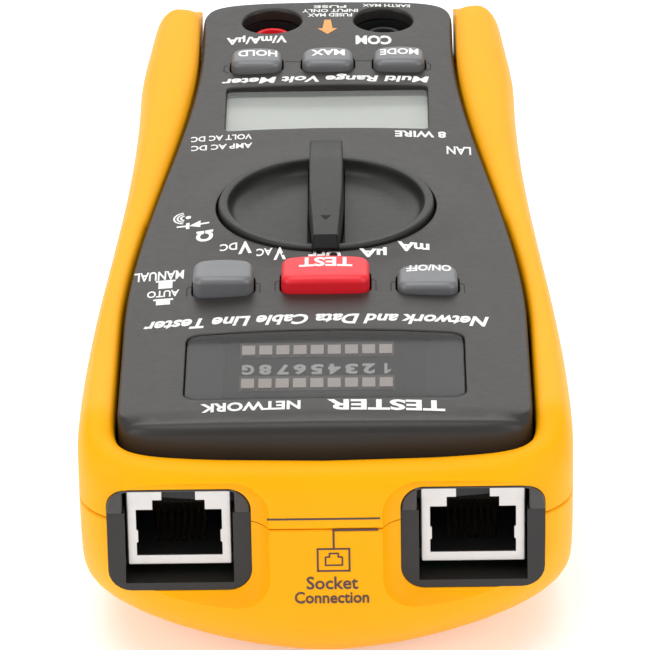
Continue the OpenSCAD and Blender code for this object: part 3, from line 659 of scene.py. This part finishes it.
def make_front_grip():
    """The yellow front grip, lofted between the case's outline and the panel's at each point round it."""
    rows = []
    brink = np.array(resample(panel_ring(-0.45), 0.05))
    for o in case_ring():
        q = brink[np.argmin(np.sum((brink - np.array(o)) ** 2, axis=1))]
        if o[1] > 0:
            q = (q[0], min(q[1], o[1] - 2))
        across = math.dist(o, q)
        top, h = rail_z(q[1]), 5.5

        def lean(u, z):
            return (o[0] + (q[0] - o[0]) * u, o[1] + (q[1] - o[1]) * u, z)

        wall = min(0.7, 3 / across)
        row = [lean(wall, SEAM_Z + 0.08), lean(0.25 / across, SEAM_Z + 0.08), lean(0, SEAM_Z + 0.35),
               lean(0, SEAM_Z + 2), lean(0, top - h)]
        row += [lean(0.5 * (1 - math.cos(math.radians(a))), top - h + h * math.sin(math.radians(a)))
                for a in range(10, 90, 10)]
        row += [lean(0.6, top), lean(0.72, top - 0.05), lean(0.82, top - 0.22), lean(0.9, top - 0.55),
                lean(0.96, top - 1.0), lean(1, top - 1.6), lean(1, LEDGE_Z - 0.2), lean(wall, LEDGE_Z - 0.2)]
        rows.append(row)
    grip = band("front_grip_skin", rows, "case", YELLOW)
    finish_grip(grip)
    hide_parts("front_grip")


def make_rear_grip():
    """The yellow rear grip: rounded outside, with the steps of its CAD solid inside."""
    levels = [SEAM_Z - 0.35, 25, 23, 21, 19, 17.5, 16, 14.5, 13, 11.5, 10, 8.5, 7, 5.5, 4.2, 3, 2, 1.2, 0.6,
              0.2, 0.0]
    outer = [low_ring(z, 7 * dip((14 - z) / 14), 15.5 * dip((16 - z) / 16), 6 * dip((6 - z) / 6))
             for z in levels]
    inner = [(SEAM_Z - 0.08, low_ring(16, 2.95, 2.95, 2.95)), (16, low_ring(16, 2.95, 2.95, 2.95)),
             (8.95, low_ring(9, 2.95, 4.45, 2.95)), (8.95, low_ring(9, 7.15, 10.95, 7.15)),
             (2.15, low_ring(2.2, 7.15, 10.95, 7.15)), (2.15, low_ring(2.2, 9.65, 17.95, 9.7)),
             (0.0, low_ring(2.2, 9.65, 17.95, 9.7))]
    seam = low_ring(SEAM_Z, 0.25, 0.25, 0.25)
    rows = []
    for i in range(len(seam)):
        row = [(*ring[i], z) for z, ring in inner]
        row += [(*outer[k][i], levels[k]) for k in range(len(levels) - 1, -1, -1)]
        row.append((*seam[i], SEAM_Z - 0.08))
        rows.append(row)
    grip = band("rear_grip_skin", rows, "case", YELLOW)
    finish_grip(grip)
    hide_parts("rear_grip")


# ---------------------------------------------------------------- camera, lights, floor
CAMERA_AT = (8.946, -833.72, 438.96)   # millimetres, fitted to the photograph like the next two
CAMERA_TURN = (-0.650, 26.697, -0.994) # yaw, pitch down and roll, in degrees
CAMERA_LENS, CAMERA_SENSOR = 319.66, 36.0
LIGHT_AIM = (0, 0, 0.02)
SOFTBOXES = {                          # place and size in metres, power in watts
    "far_softbox": ((0.0, 1.3, 0.85), (2.2, 1.1), 10), "top_softbox": ((-0.1, -0.15, 1.3), (1.2, 0.9), 9),
    "left_softbox": ((-0.9, -0.5, 0.5), (0.6, 0.7), 3), "right_softbox": ((0.9, -0.5, 0.5), (0.6, 0.7), 3)}
FLOOR_HALF = 3.0                       # half the floor's side, in metres


def make_camera():
    at = Vector(CAMERA_AT) * MM
    yaw, pitch, roll = (math.radians(turn) for turn in CAMERA_TURN)
    ahead = Vector((math.sin(yaw) * math.cos(pitch), math.cos(yaw) * math.cos(pitch), -math.sin(pitch)))
    right = Vector((math.cos(yaw), -math.sin(yaw), 0))
    up = right.cross(ahead)
    right, up = right * math.cos(roll) + up * math.sin(roll), up * math.cos(roll) - right * math.sin(roll)
    data = bpy.data.cameras.new("camera")
    data.lens, data.sensor_width = CAMERA_LENS, CAMERA_SENSOR
    data.clip_start, data.clip_end = 0.05, 20
    cam = bpy.data.objects.new("camera", data)
    turn = Matrix((right, up, -ahead)).transposed()
    cam.matrix_world = Matrix.Translation(at) @ turn.to_4x4()
    bpy.context.scene.collection.objects.link(cam)
    bpy.context.scene.camera = cam


def area_light(name, at, size, power):
    data = bpy.data.lights.new(name, "AREA")
    data.shape, data.size, data.size_y, data.energy = "RECTANGLE", *size, power
    lamp = bpy.data.objects.new(name, data)
    lamp.location = at
    lamp.rotation_euler = (Vector(LIGHT_AIM) - Vector(at)).to_track_quat("-Z", "Y").to_euler()
    bpy.context.scene.collection.objects.link(lamp)


def make_studio():
    scene = bpy.context.scene
    scene.view_settings.view_transform = "Standard"
    world = bpy.data.worlds.new("studio")
    scene.world = world
    world.use_nodes = True
    back = world.node_tree.nodes["Background"]
    back.inputs["Color"].default_value, back.inputs["Strength"].default_value = (1, 1, 1, 1), 0.5
    for name, (at, size, power) in SOFTBOXES.items():
        area_light(name, at, size, power)
    mesh = bpy.data.meshes.new("floor")
    s = FLOOR_HALF
    mesh.from_pydata([(-s, -s, 0), (s, -s, 0), (s, s, 0), (-s, s, 0)], [], [(0, 1, 2, 3)])
    floor = bpy.data.objects.new("floor", mesh)
    paper = plastic("floor_paper", (0.9, 0.92, 0.96), rough=0.8, grain=0.01, grain_scale=900.0, vary=0.005,
                    blotch=4.0)
    lit = paper.node_tree.nodes["Principled BSDF"]
    lit.inputs["Emission Color"].default_value = (0.85, 0.9, 1, 1)
    lit.inputs["Emission Strength"].default_value = 0.3
    mesh.materials.append(paper)
    scene.collection.objects.link(floor)


# ---------------------------------------------------------------- printing
def outline_text(text, weight=0.02):
    """Points and faces of a line of lettering, 2 units thick, before it is fitted to its place."""
    data = bpy.data.curves.new("lettering", "FONT")
    data.body, data.extrude, data.offset, data.resolution_u = text, 1.0, weight, 3
    obj = bpy.data.objects.new("lettering", data)
    bpy.context.scene.collection.objects.link(obj)
    bpy.context.view_layer.update()
    mesh = bpy.data.meshes.new_from_object(obj.evaluated_get(bpy.context.evaluated_depsgraph_get()))
    pts = np.array([v.co[:] for v in mesh.vertices])
    faces = [tuple(p.vertices) for p in mesh.polygons]
    bpy.data.objects.remove(obj)
    bpy.data.curves.remove(data)
    bpy.data.meshes.remove(mesh)
    return pts, faces


def lettering(text, x0, x1, y0, y1, weight=0.02, slant=0.0):
    """Lettering fitted into a box on the face; it is read from the far end, so it is turned half round."""
    pts, faces = outline_text(text, weight)
    lo, hi = pts.min(0), pts.max(0)
    u = (pts[:, 0] - lo[0]) / (hi[0] - lo[0])
    v = (pts[:, 1] - lo[1]) / (hi[1] - lo[1])
    x = x1 - u * (x1 - x0) - slant * v
    y = y1 - v * (y1 - y0)
    return np.stack([x, y, np.sign(pts[:, 2])], 1), faces


def polygon(points):
    """A flat printed shape, 2 units thick like the lettering."""
    n = len(points)
    pts = np.array([(x, y, s) for s in (-1, 1) for x, y in points])
    faces = [(i, (i + 1) % n, n + (i + 1) % n, n + i) for i in range(n)]
    return pts, faces + [tuple(range(n))[::-1], tuple(range(n, 2 * n))]


def bar(x0, x1, y0, y1):
    n = max(1, int(abs(x1 - x0) / 1.2))
    xs = [x0 + (x1 - x0) * i / n for i in range(n + 1)]
    pts = np.array([(x, y, s) for s in (-1, 1) for y in (y0, y1) for x in xs])
    m, faces = n + 1, []
    for i in range(n):
        faces += [(i, i + m, i + m + 1, i + 1), (2 * m + i, 2 * m + i + 1, 3 * m + i + 1, 3 * m + i),
                  (i, i + 1, 2 * m + i + 1, 2 * m + i), (m + i, 3 * m + i, 3 * m + i + 1, m + i + 1)]
    return pts, faces + [(0, 2 * m, 3 * m, m), (n, m + n, 3 * m + n, 2 * m + n)]


def stroke(path, width):
    """A printed line of even width along a path."""
    p = np.array(path, float)
    t = np.gradient(p, axis=0)
    t /= np.linalg.norm(t, axis=1)[:, None]
    n = np.stack([-t[:, 1], t[:, 0]], 1) * width / 2
    return polygon([tuple(q) for q in p + n] + [tuple(q) for q in (p - n)[::-1]])


def arc(cx, cy, r, a0, a1, width, n=12, squash=1.0):
    angles = [math.radians(a0 + (a1 - a0) * i / n) for i in range(n + 1)]
    return stroke([(cx + r * math.cos(a), cy + squash * r * math.sin(a)) for a in angles], width)


def ink(name, shapes, body, mat, z_of, thick=0.05, sink=0.03):
    """One printed piece from several shapes, laid on the surface z_of(x, y)."""
    verts, faces = [], []
    for pts, polys in shapes:
        s = len(verts)
        verts += [(x, y, z_of(x, y) + (thick if k > 0 else -sink)) for x, y, k in pts]
        faces += [tuple(s + i for i in f) for f in polys]
    return new_piece(name, verts, faces, body, mat, 30)


# ---------------------------------------------------------------- window over the pin indicator
ROW_X0, ROW_PITCH, SQUARE_W = -12.67, 2.616, 1.98
ROWS = {"far_leds": (-50.6, -45.8), "near_leds": (-61.65, -56.85)}
CARD_Z = FACE_Z - 1.35
PIN_NAMES = "G87654321"                # in the order of rising x


def make_indicator():
    """The tinted window, the card behind it, the lights and their numbers."""
    lens = plate("indicator_lens", bowed_lens(-0.18), "case", LENS,
                 lambda x, y: crown(x) - 0.04, lambda x, y: crown(x) - 1.0, edge=0.3, spacing=2.0)
    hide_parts("pinout_lens")
    plate("indicator_mask", bowed_lens(-0.1), "case", PART_BLACK, CARD_Z - 0.03, CARD_Z - 0.6,
          edge=0.1)
    card = plate("indicator_card", round_rect(-1.4, middle("pinout_lens")[1], 27, 19.5, 1), "case",
                 PART_BLACK, CARD_Z, CARD_Z - 2, edge=0.2)
    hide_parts("led_blocks")
    for node, (y0, y1) in ROWS.items():
        tiles = []
        for k in range(len(PIN_NAMES)):
            x = ROW_X0 + ROW_PITCH * k
            tiles.append(bar(x, x + SQUARE_W, y0 + 0.45, y1 - 1.35))
        lights = ink(node.replace("leds", "lights"), tiles, "case", LED,
                     lambda x, y: CARD_Z + 0.1, 0.25, 0.3)
        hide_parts(node)
        end = ROW_X0 + ROW_PITCH * (len(PIN_NAMES) - 1) + SQUARE_W
        ink(node.replace("leds", "strip"), [bar(ROW_X0 - 0.3, end + 0.3, y0, y1)],
            "case", LED_BED, lambda x, y: CARD_Z, 0.06)
    marks = []
    for k, letter in enumerate(PIN_NAMES):
        x = ROW_X0 + ROW_PITCH * k + SQUARE_W / 2
        if letter == "1":              # drawn with a flag, which the plain letter lacks
            marks.append(polygon([(x - 0.25, -56.3), (x + 0.15, -56.3), (x + 0.75, -55.3), (x + 0.75, -54.9),
                                  (x + 0.22, -55.4), (x + 0.22, -53.0), (x - 0.25, -53.0)]))
        else:
            marks.append(lettering(letter, x - 0.95, x + 0.95, -56.3, -53.0, 0.045))
    ink("indicator_numbers", marks, "case", WHITE_INK, lambda x, y: CARD_Z, 0.06)


# ---------------------------------------------------------------- dial
TIP_FOOT = 41.8                        # the pointer's tip passes over the raised panel and its printing
TIP_Y = -16.4                          # where the pointer's tip starts
BAR_ROWS = [(16.4, 44.6, 2.2), (16.1, 45.2, 2.5), (15.5, 45.45, 2.65), (8, 45.2, 2.68), (0, 44.9, 2.66),
            (-6, 44.55, 2.45), (-12.9, 44.1, 2.1), (-16.2, 43.8, 1.98)]
TIP_ROWS = [(-16.2, 43.8, 1.98), (-16.5, 43.6, 2.0), (-17.9, 42.7, 2.2), (-18.2, 42.4, 2.25)]


def make_dial():
    """The dial's disc, its pointer bar with a black tip darkened further as painted shade, and the arrow on
    the bar.
    """
    profile = [(0.01, 37.3), (18.3, 37.3), (18.54, 37.5), (18.54, 38.3), (18.4, 38.5), (DIAL_R, 38.5),
               (DIAL_R, 41.5)]
    profile += [(DIAL_R - 0.5 * (1 - math.cos(math.radians(a))), 41.5 + 0.5 * math.sin(math.radians(a)))
                for a in range(15, 91, 15)]
    profile += [(16.1, 42.0), (15.9, 41.95), (15.75, 41.8), (15.62, 41.5), (15.4, 40.9), (15.1, 40.35),
                (14.6, 39.95), (13.8, 39.7), (12.5, 39.62), (8, 39.9), (0.01, 40.1)]
    disc = revolve("dial_disc", profile, "dial", DIAL, n=192)
    cut(disc, box_cutter((-3.0, -15.3, 38.0), (3.0, 14.9, 41.2)))
    resharpen(disc, 32)
    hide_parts("dial_knob")
    rows = [bar_section(*row) for row in BAR_ROWS]
    rows.insert(0, [(x * 0.9, y, min(z, 42.2)) for x, y, z in rows[0]])
    loft("dial_bar", rows, "dial", DIAL, 32)
    # the tip is the pointer's own black plastic, given a darker, duller colour as painted shade for its steep
    # end face
    loft("dial_tip", [bar_section(*row) for row in TIP_ROWS], "dial", DARK_INK_AND_SHADE, 32)
    ink("dial_arrow", [polygon([(-0.75, -10.3), (0.75, -10.3), (0, -11.6)])], "dial", DARK_INK_AND_SHADE,
        lambda x, y: 44.23 + (y + 11) * 0.06, 0.06)


def bar_section(y, top, half):
    """One cross-section of the pointer bar: rounded top corners and flanks that widen a little downwards."""
    r, foot = 0.45, 38.1 if y > TIP_Y else TIP_FOOT
    pts = [(half * 1.08, foot)]
    for a in range(0, 91, 15):
        t = math.radians(a)
        pts.append((half - r + r * math.cos(t), top - r + r * math.sin(t)))
    pts = pts + [(-x, z) for x, z in pts[::-1]]
    return [(x, y, max(z, foot)) for x, z in pts]


# ---------------------------------------------------------------- keys
CAP_BASE = 37.7                        # underside of the key caps, clear of the switches when pressed
NIB_R = {"hold_key": 1.3, "max_key": 1.3, "mode_key": 1.3, "test_key": 1.8, "auto_manual_key": 1.6,
         "power_key": 1.6}             # radius of the nib under each cap that presses its switch


def body_of(key):
    return key.removesuffix("_key")


def make_keys():
    """A crowned cap and a nib for each of the six keys."""
    for node, r in NIB_R.items():
        mat, slot = (TEST_RED, "red_plastic") if node == "test_key" else (KEY_GREY, "grey_key")
        cap = plate(node.replace("key", "cap"), key_loop(node, 0), body_of(node), mat, key_top(node),
                    CAP_BASE, edge=1.05, spacing=1.0, steps=7, sharp=60)
        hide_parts(node)
        foot, head = mm_box(node)[0][2], CAP_BASE + 0.1
        revolve(node.replace("key", "nib"), [(0.01, foot), (r, foot), (r, head), (0.01, head)],
                body_of(node), mat, middle(node)[:2], n=32)


def key_top(node):
    """The height of a key's crowned top as a function of x, y."""
    c = middle(node)
    top, w = mm_box(node)[1][2], KEYS[node][0] / 2
    return lambda x, y: top - 0.3 * ((x - c[0]) / w) ** 2 - 0.05 * (c[1] - y)


# ---------------------------------------------------------------- printing on the face and keys
def unit(big, small, x0, x1, y0, y1):
    """A large letter followed by smaller capitals."""
    split = x1 - (x1 - x0) * 0.42
    return [lettering(big, split, x1, y0, y1, 0.035),
            lettering(small, x0, split - 0.2, y0 + 1.5, y1 - 0.1, 0.02)]


FACE_WORDS = [                         # text, x and y limits, and how much the strokes are thickened
    ("mA", 11.34, 16.34, -16.85, -14.02, 0.035), ("\u00b5A", 5.29, 9.6, -19.32, -16.16, 0.035),
    ("OFF", -2.74, 2.4, -20.4, -17.3, 0.035), ("\u03a9", -20.6, -17.9, -11.6, -8.0, 0.04),
    ("MANUAL", -30.0, -22.2, -24.3, -21.2, 0.02), ("AUTO", -27.8, -22.8, -30.3, -28.0, 0.02),
    ("COM", 4.8, 10.9, 63.6, 67.3, 0.04), ("V/mA/\u00b5A", -17.2, -6.9, 64.8, 68.4, 0.035),
    ("VOLT AC DC", -22.3, -12.3, 26.3, 28.3, 0.02), ("AMP AC DC", -22.2, -12.2, 22.8, 24.8, 0.02),
    ("8 WIRE", 11.2, 19.6, 26.4, 28.8, 0.03), ("LAN", 19.6, 23.6, 20.2, 23.2, 0.02),
    ("NETWORK", -18.6, -3.6, -70.2, -67.4, 0.03), ("TESTER", 0.4, 18.0, -70.6, -67.2, 0.03),
    ("FUSED MAX", -3.4, 4.2, 75.4, 76.8, 0.02), ("INPUT ONLY", -4.4, 5.2, 77.3, 78.6, 0.02),
    ("FUSE", -2.4, 3.2, 79.1, 80.2, 0.02), ("EARTH MAX", 6.0, 14.2, 79.6, 80.7, 0.02)]
KEY_WORDS = {                          # text and its x and y limits
    "test_key": ("TEST", -4.1, 4.2, -27.6, -24.7), "power_key": ("ON/OFF", 12.6, 19.6, -27.1, -25.2),
    "hold_key": ("HOLD", -15.0, -8.4, 55.0, 57.2), "max_key": ("MAX", -2.7, 3.0, 55.0, 57.2),
    "mode_key": ("MODE", 8.9, 15.4, 55.0, 57.2)}


def latch_mark(x0, y0, tall):
    """The outline of a latching key: a stem on a wide foot."""
    return [bar(x0 + 0.45, x0 + 2.65, y0, y0 + tall), bar(x0, x0 + 3.1, y0 + tall, y0 + tall + 0.55)]


def diode_and_sounder(x, y):
    """The diode mark, with the dot and three arcs of the sounder beyond it."""
    turns = np.linspace(0, 2 * math.pi, 14, endpoint=False)
    return [bar(x - 2.6, x - 0.6, y - 0.25, y + 0.25), bar(x - 1.1, x - 0.55, y - 1.0, y + 1.1),
            polygon([(x - 0.6, y), (x + 1.2, y - 0.9), (x + 1.2, y + 1.4)]),
            bar(x + 1.1, x + 2.6, y - 0.1, y + 0.4),
            polygon([(x - 0.8 + 0.45 * math.cos(t), y + 3.1 + 0.55 * math.sin(t)) for t in turns]),
            *[arc(x - 1.3, y + 3.0, r, 100, 260, 0.3, squash=1.1) for r in (0.7, 1.25, 1.8)]]


def make_prints():
    """White printing and the orange arrow on the face, and the words on the keys."""
    marks = [lettering("Network and Data Cable Line Tester", -27.6, 25.2, -42.0, -38.6, 0.03, 0.7),
             lettering("Multi Range Volt Meter", -17.4, 17.2, 48.3, 51.4, 0.03, 0.5),
             *unit("V", "AC", -10.92, -6.24, -19.7, -15.9), *unit("V", "DC", -16.75, -11.65, -17.0, -13.2),
             *latch_mark(-26.56, -27.33, 2.3), *latch_mark(-26.77, -33.0, 1.5),
             *diode_and_sounder(-21.2, -5.6)]
    marks += [lettering(*word) for word in FACE_WORDS]
    ink("face_print", marks, "case", WHITE_INK, face)
    arrow = [polygon([(-0.9, 69.8), (0.9, 69.8), (0.55, 74.0), (-0.55, 74.0)]),
             polygon([(-1.7, 70.4), (0, 68.0), (1.7, 70.4)])]
    ink("jack_arrow", arrow, "case", ORANGE_INK, face)
    for node, word in KEY_WORDS.items():
        ink(node.replace("key", "letters"), [lettering(*word, 0.03)], body_of(node), WHITE_INK,
            key_top(node))


def make_groove_shade():
    """Painted shade: dark lines in place of the shaded grooves beside the three near keys and round the row
    of far keys.
    """
    shade_strokes = []
    for node in ("auto_manual_key", "test_key", "power_key"):
        c, (w, d) = middle(node), KEYS[node]
        for s in (-1, 1):
            x = c[0] + s * (w / 2 + 1.0)
            far, near = c[1] + d * 0.1, c[1] - d * 0.42
            shade_strokes.append(stroke([(x - s * 0.8, far), (x - s * 0.25, far - 0.12), (x, far - 0.6),
                                   (x, (far + near) / 2), (x, near)], 0.16))
    y0, y1, x1 = 52.4, 58.0, 17.4
    shade_strokes += [stroke([(s * 16.9, y1 - 1.6), (s * x1, y1 - 2.2), (s * x1, y0 + 1.6), (s * 16.6, y0 + 0.7)],
                       0.18) for s in (-1, 1)]
    shade_strokes += [stroke([(a, y1 - 1.2), (b, y1 - 1.2)], 0.18) for a, b in ((-7.3, -4.4), (4.7, 7.6))]
    # dark ink strokes that paint the shade of the grooves; the grooves themselves are not cut into the face
    ink("panel_groove_shade", shade_strokes, "case", DARK_INK_AND_SHADE, face, 0.02)


def near_y(x):
    """Where the yellow near face is, x beside the centre line."""
    w = side_w(NEAR_Y + 6)
    return NEAR_Y + NEAR_CAP * (1 - (1 - (abs(x) / w) ** NEAR_SQUARE) ** (1 / NEAR_SQUARE))


def make_near_prints():
    """The socket symbol, its lines and two words on the yellow near face, drawn in x and z."""
    lines = [bar(-8.7, 8.1, 28.7, 29.0), bar(1.0, 7.8, 26.8, 27.1), bar(1.0, 1.3, 23.9, 27.1)]
    lines += frame_bars(-1.4, 3.6, 19.9, 23.9, 0.28)
    lines += [stroke(p, 0.24) for p in ([(-0.1, 21.0), (2.4, 21.0)], [(2.4, 20.9), (2.4, 22.4)],
                                        [(-0.1, 20.9), (-0.1, 22.4)], [(-0.1, 22.4), (0.5, 22.4)],
                                        [(2.4, 22.4), (1.8, 22.4)], [(0.5, 22.3), (0.5, 23.0)],
                                        [(1.8, 22.3), (1.8, 23.0)], [(0.4, 23.0), (1.9, 23.0)])]
    words = []
    for text, x0, x1, z0, z1 in (("Socket", -3.0, 4.7, 16.9, 19.1), ("Connection", -4.8, 6.3, 14.5, 16.5)):
        pts, faces = outline_text(text, 0.015)
        lo, hi = pts.min(0), pts.max(0)
        u, v = (pts[:, 0] - lo[0]) / (hi[0] - lo[0]), (pts[:, 1] - lo[1]) / (hi[1] - lo[1])
        words.append((np.stack([x0 + (x1 - x0) * u, z0 + v * (z1 - z0), np.sign(pts[:, 2])], 1), faces))
    verts, faces = [], []
    for pts, polys in lines + words:
        s = len(verts)
        verts += [(x, near_y(x) - (0.05 if k > 0 else -0.03), z) for x, z, k in pts]
        faces += [tuple(s + i for i in f) for f in polys]
    new_piece("near_face_print", verts, faces, "case", BROWN_INK, 30)


def frame_bars(x0, x1, z0, z1, w):
    """The four sides of a square outline, w wide."""
    return [bar(x0, x1, z0, z0 + w), bar(x0, x1, z1 - w, z1),
            bar(x0, x0 + w, z0, z1), bar(x1 - w, x1, z0, z1)]


# ---------------------------------------------------------------- meter sockets
def make_sockets():
    """A black cup and an inner post for each of the two sockets."""
    for name, mat, slot in (("volt", TEST_RED, "red_plastic"), ("com", PART_BLACK, "black_plastic")):
        centre = middle(name + "_socket")[:2]
        cup = [(5.0, 38.6), (5.0, 24.0), (3.2, 24.0), (3.2, 21.5), (6.2, 21.5), (6.2, 38.6), (5.0, 38.6)]
        post = [(2.15, 23.0), (3.05, 23.0), (3.05, 37.9), (2.95, 38.2), (2.75, 38.3), (2.45, 38.3),
                (2.25, 38.2), (2.15, 37.9), (2.15, 23.0)]
        body = revolve(name + "_socket_cup", cup, "case", PART_BLACK, centre)
        revolve(name + "_socket_post", post, "case", mat, centre)
        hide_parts(name + "_socket")


# ---------------------------------------------------------------- network jacks
# turns a plate's top to the near side
FACING = Matrix(((1, 0, 0, 0), (0, 0, -1, 0), (0, 1, 0, 0), (0, 0, 0, 1)))


def jack_opening(cx):
    """The stepped mouth of a network jack, seen from the front, with its two pairs of side nicks."""
    half = [(6.4, 20.3), (6.4, 22.4), (6.15, 22.55), (6.15, 24.5), (6.4, 24.65), (6.4, 28.0), (3.9, 28.0),
            (3.9, 29.6), (2.5, 29.6), (2.5, 31.6)]
    return [(cx + x, z) for x, z in half] + [(cx - x, z) for x, z in half[::-1]]


def hood_loop(w, h, r):
    """The upper half of a jack surround: an arch round the jack down to the seam of the case."""
    seam, top, inner = CASE_SEAM_Z - 0.35, SURROUND_Z + h / 2, (8.4, 32.0)
    loop = [(w / 2, seam)]
    loop += [(w / 2 - r + r * math.cos(math.radians(a)), top - r + r * math.sin(math.radians(a)))
             for a in range(0, 91, 10)]
    loop += [(-x, z) for x, z in loop[::-1]]
    return loop + [(-inner[0], seam), (-inner[0], inner[1]), (inner[0], inner[1]), (inner[0], seam)]


def make_jacks():
    """A metal bezel and a black hood for each jack."""
    for side, cx in (("left", -JACK_X), ("right", JACK_X)):
        lo, hi = mm_box(side + "_jack_shield")
        wide, _, high = hi - lo
        rim = round_rect((lo[0] + hi[0]) / 2, (lo[2] + hi[2]) / 2, wide, high, 0.35, 30)
        bezel = plate(side + "_jack_bezel", rim, "case", SHIELD, -lo[1], -lo[1] - 0.35,
                      edge=0.25, holes=[jack_opening(cx)], hole_edge=0.06, spacing=0, place=FACING,
                      skirt=(-hi[1], 0.3))
        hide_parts(side + "_jack_shield")
        hood = [(cx + x, z) for x, z in hood_loop(*SURROUND)]
        plate(side + "_jack_hood", hood, "case", SURROUND_BLACK, -SURROUND_Y, -NEAR_Y - 20,
              edge=0.3, spacing=0, place=FACING)


make_camera()
make_studio()
dress_cad()
make_panel()
make_front_grip()
make_rear_grip()
make_indicator()
make_dial()
make_keys()
make_prints()
make_groove_shade()
make_near_prints()
make_sockets()
make_jacks()
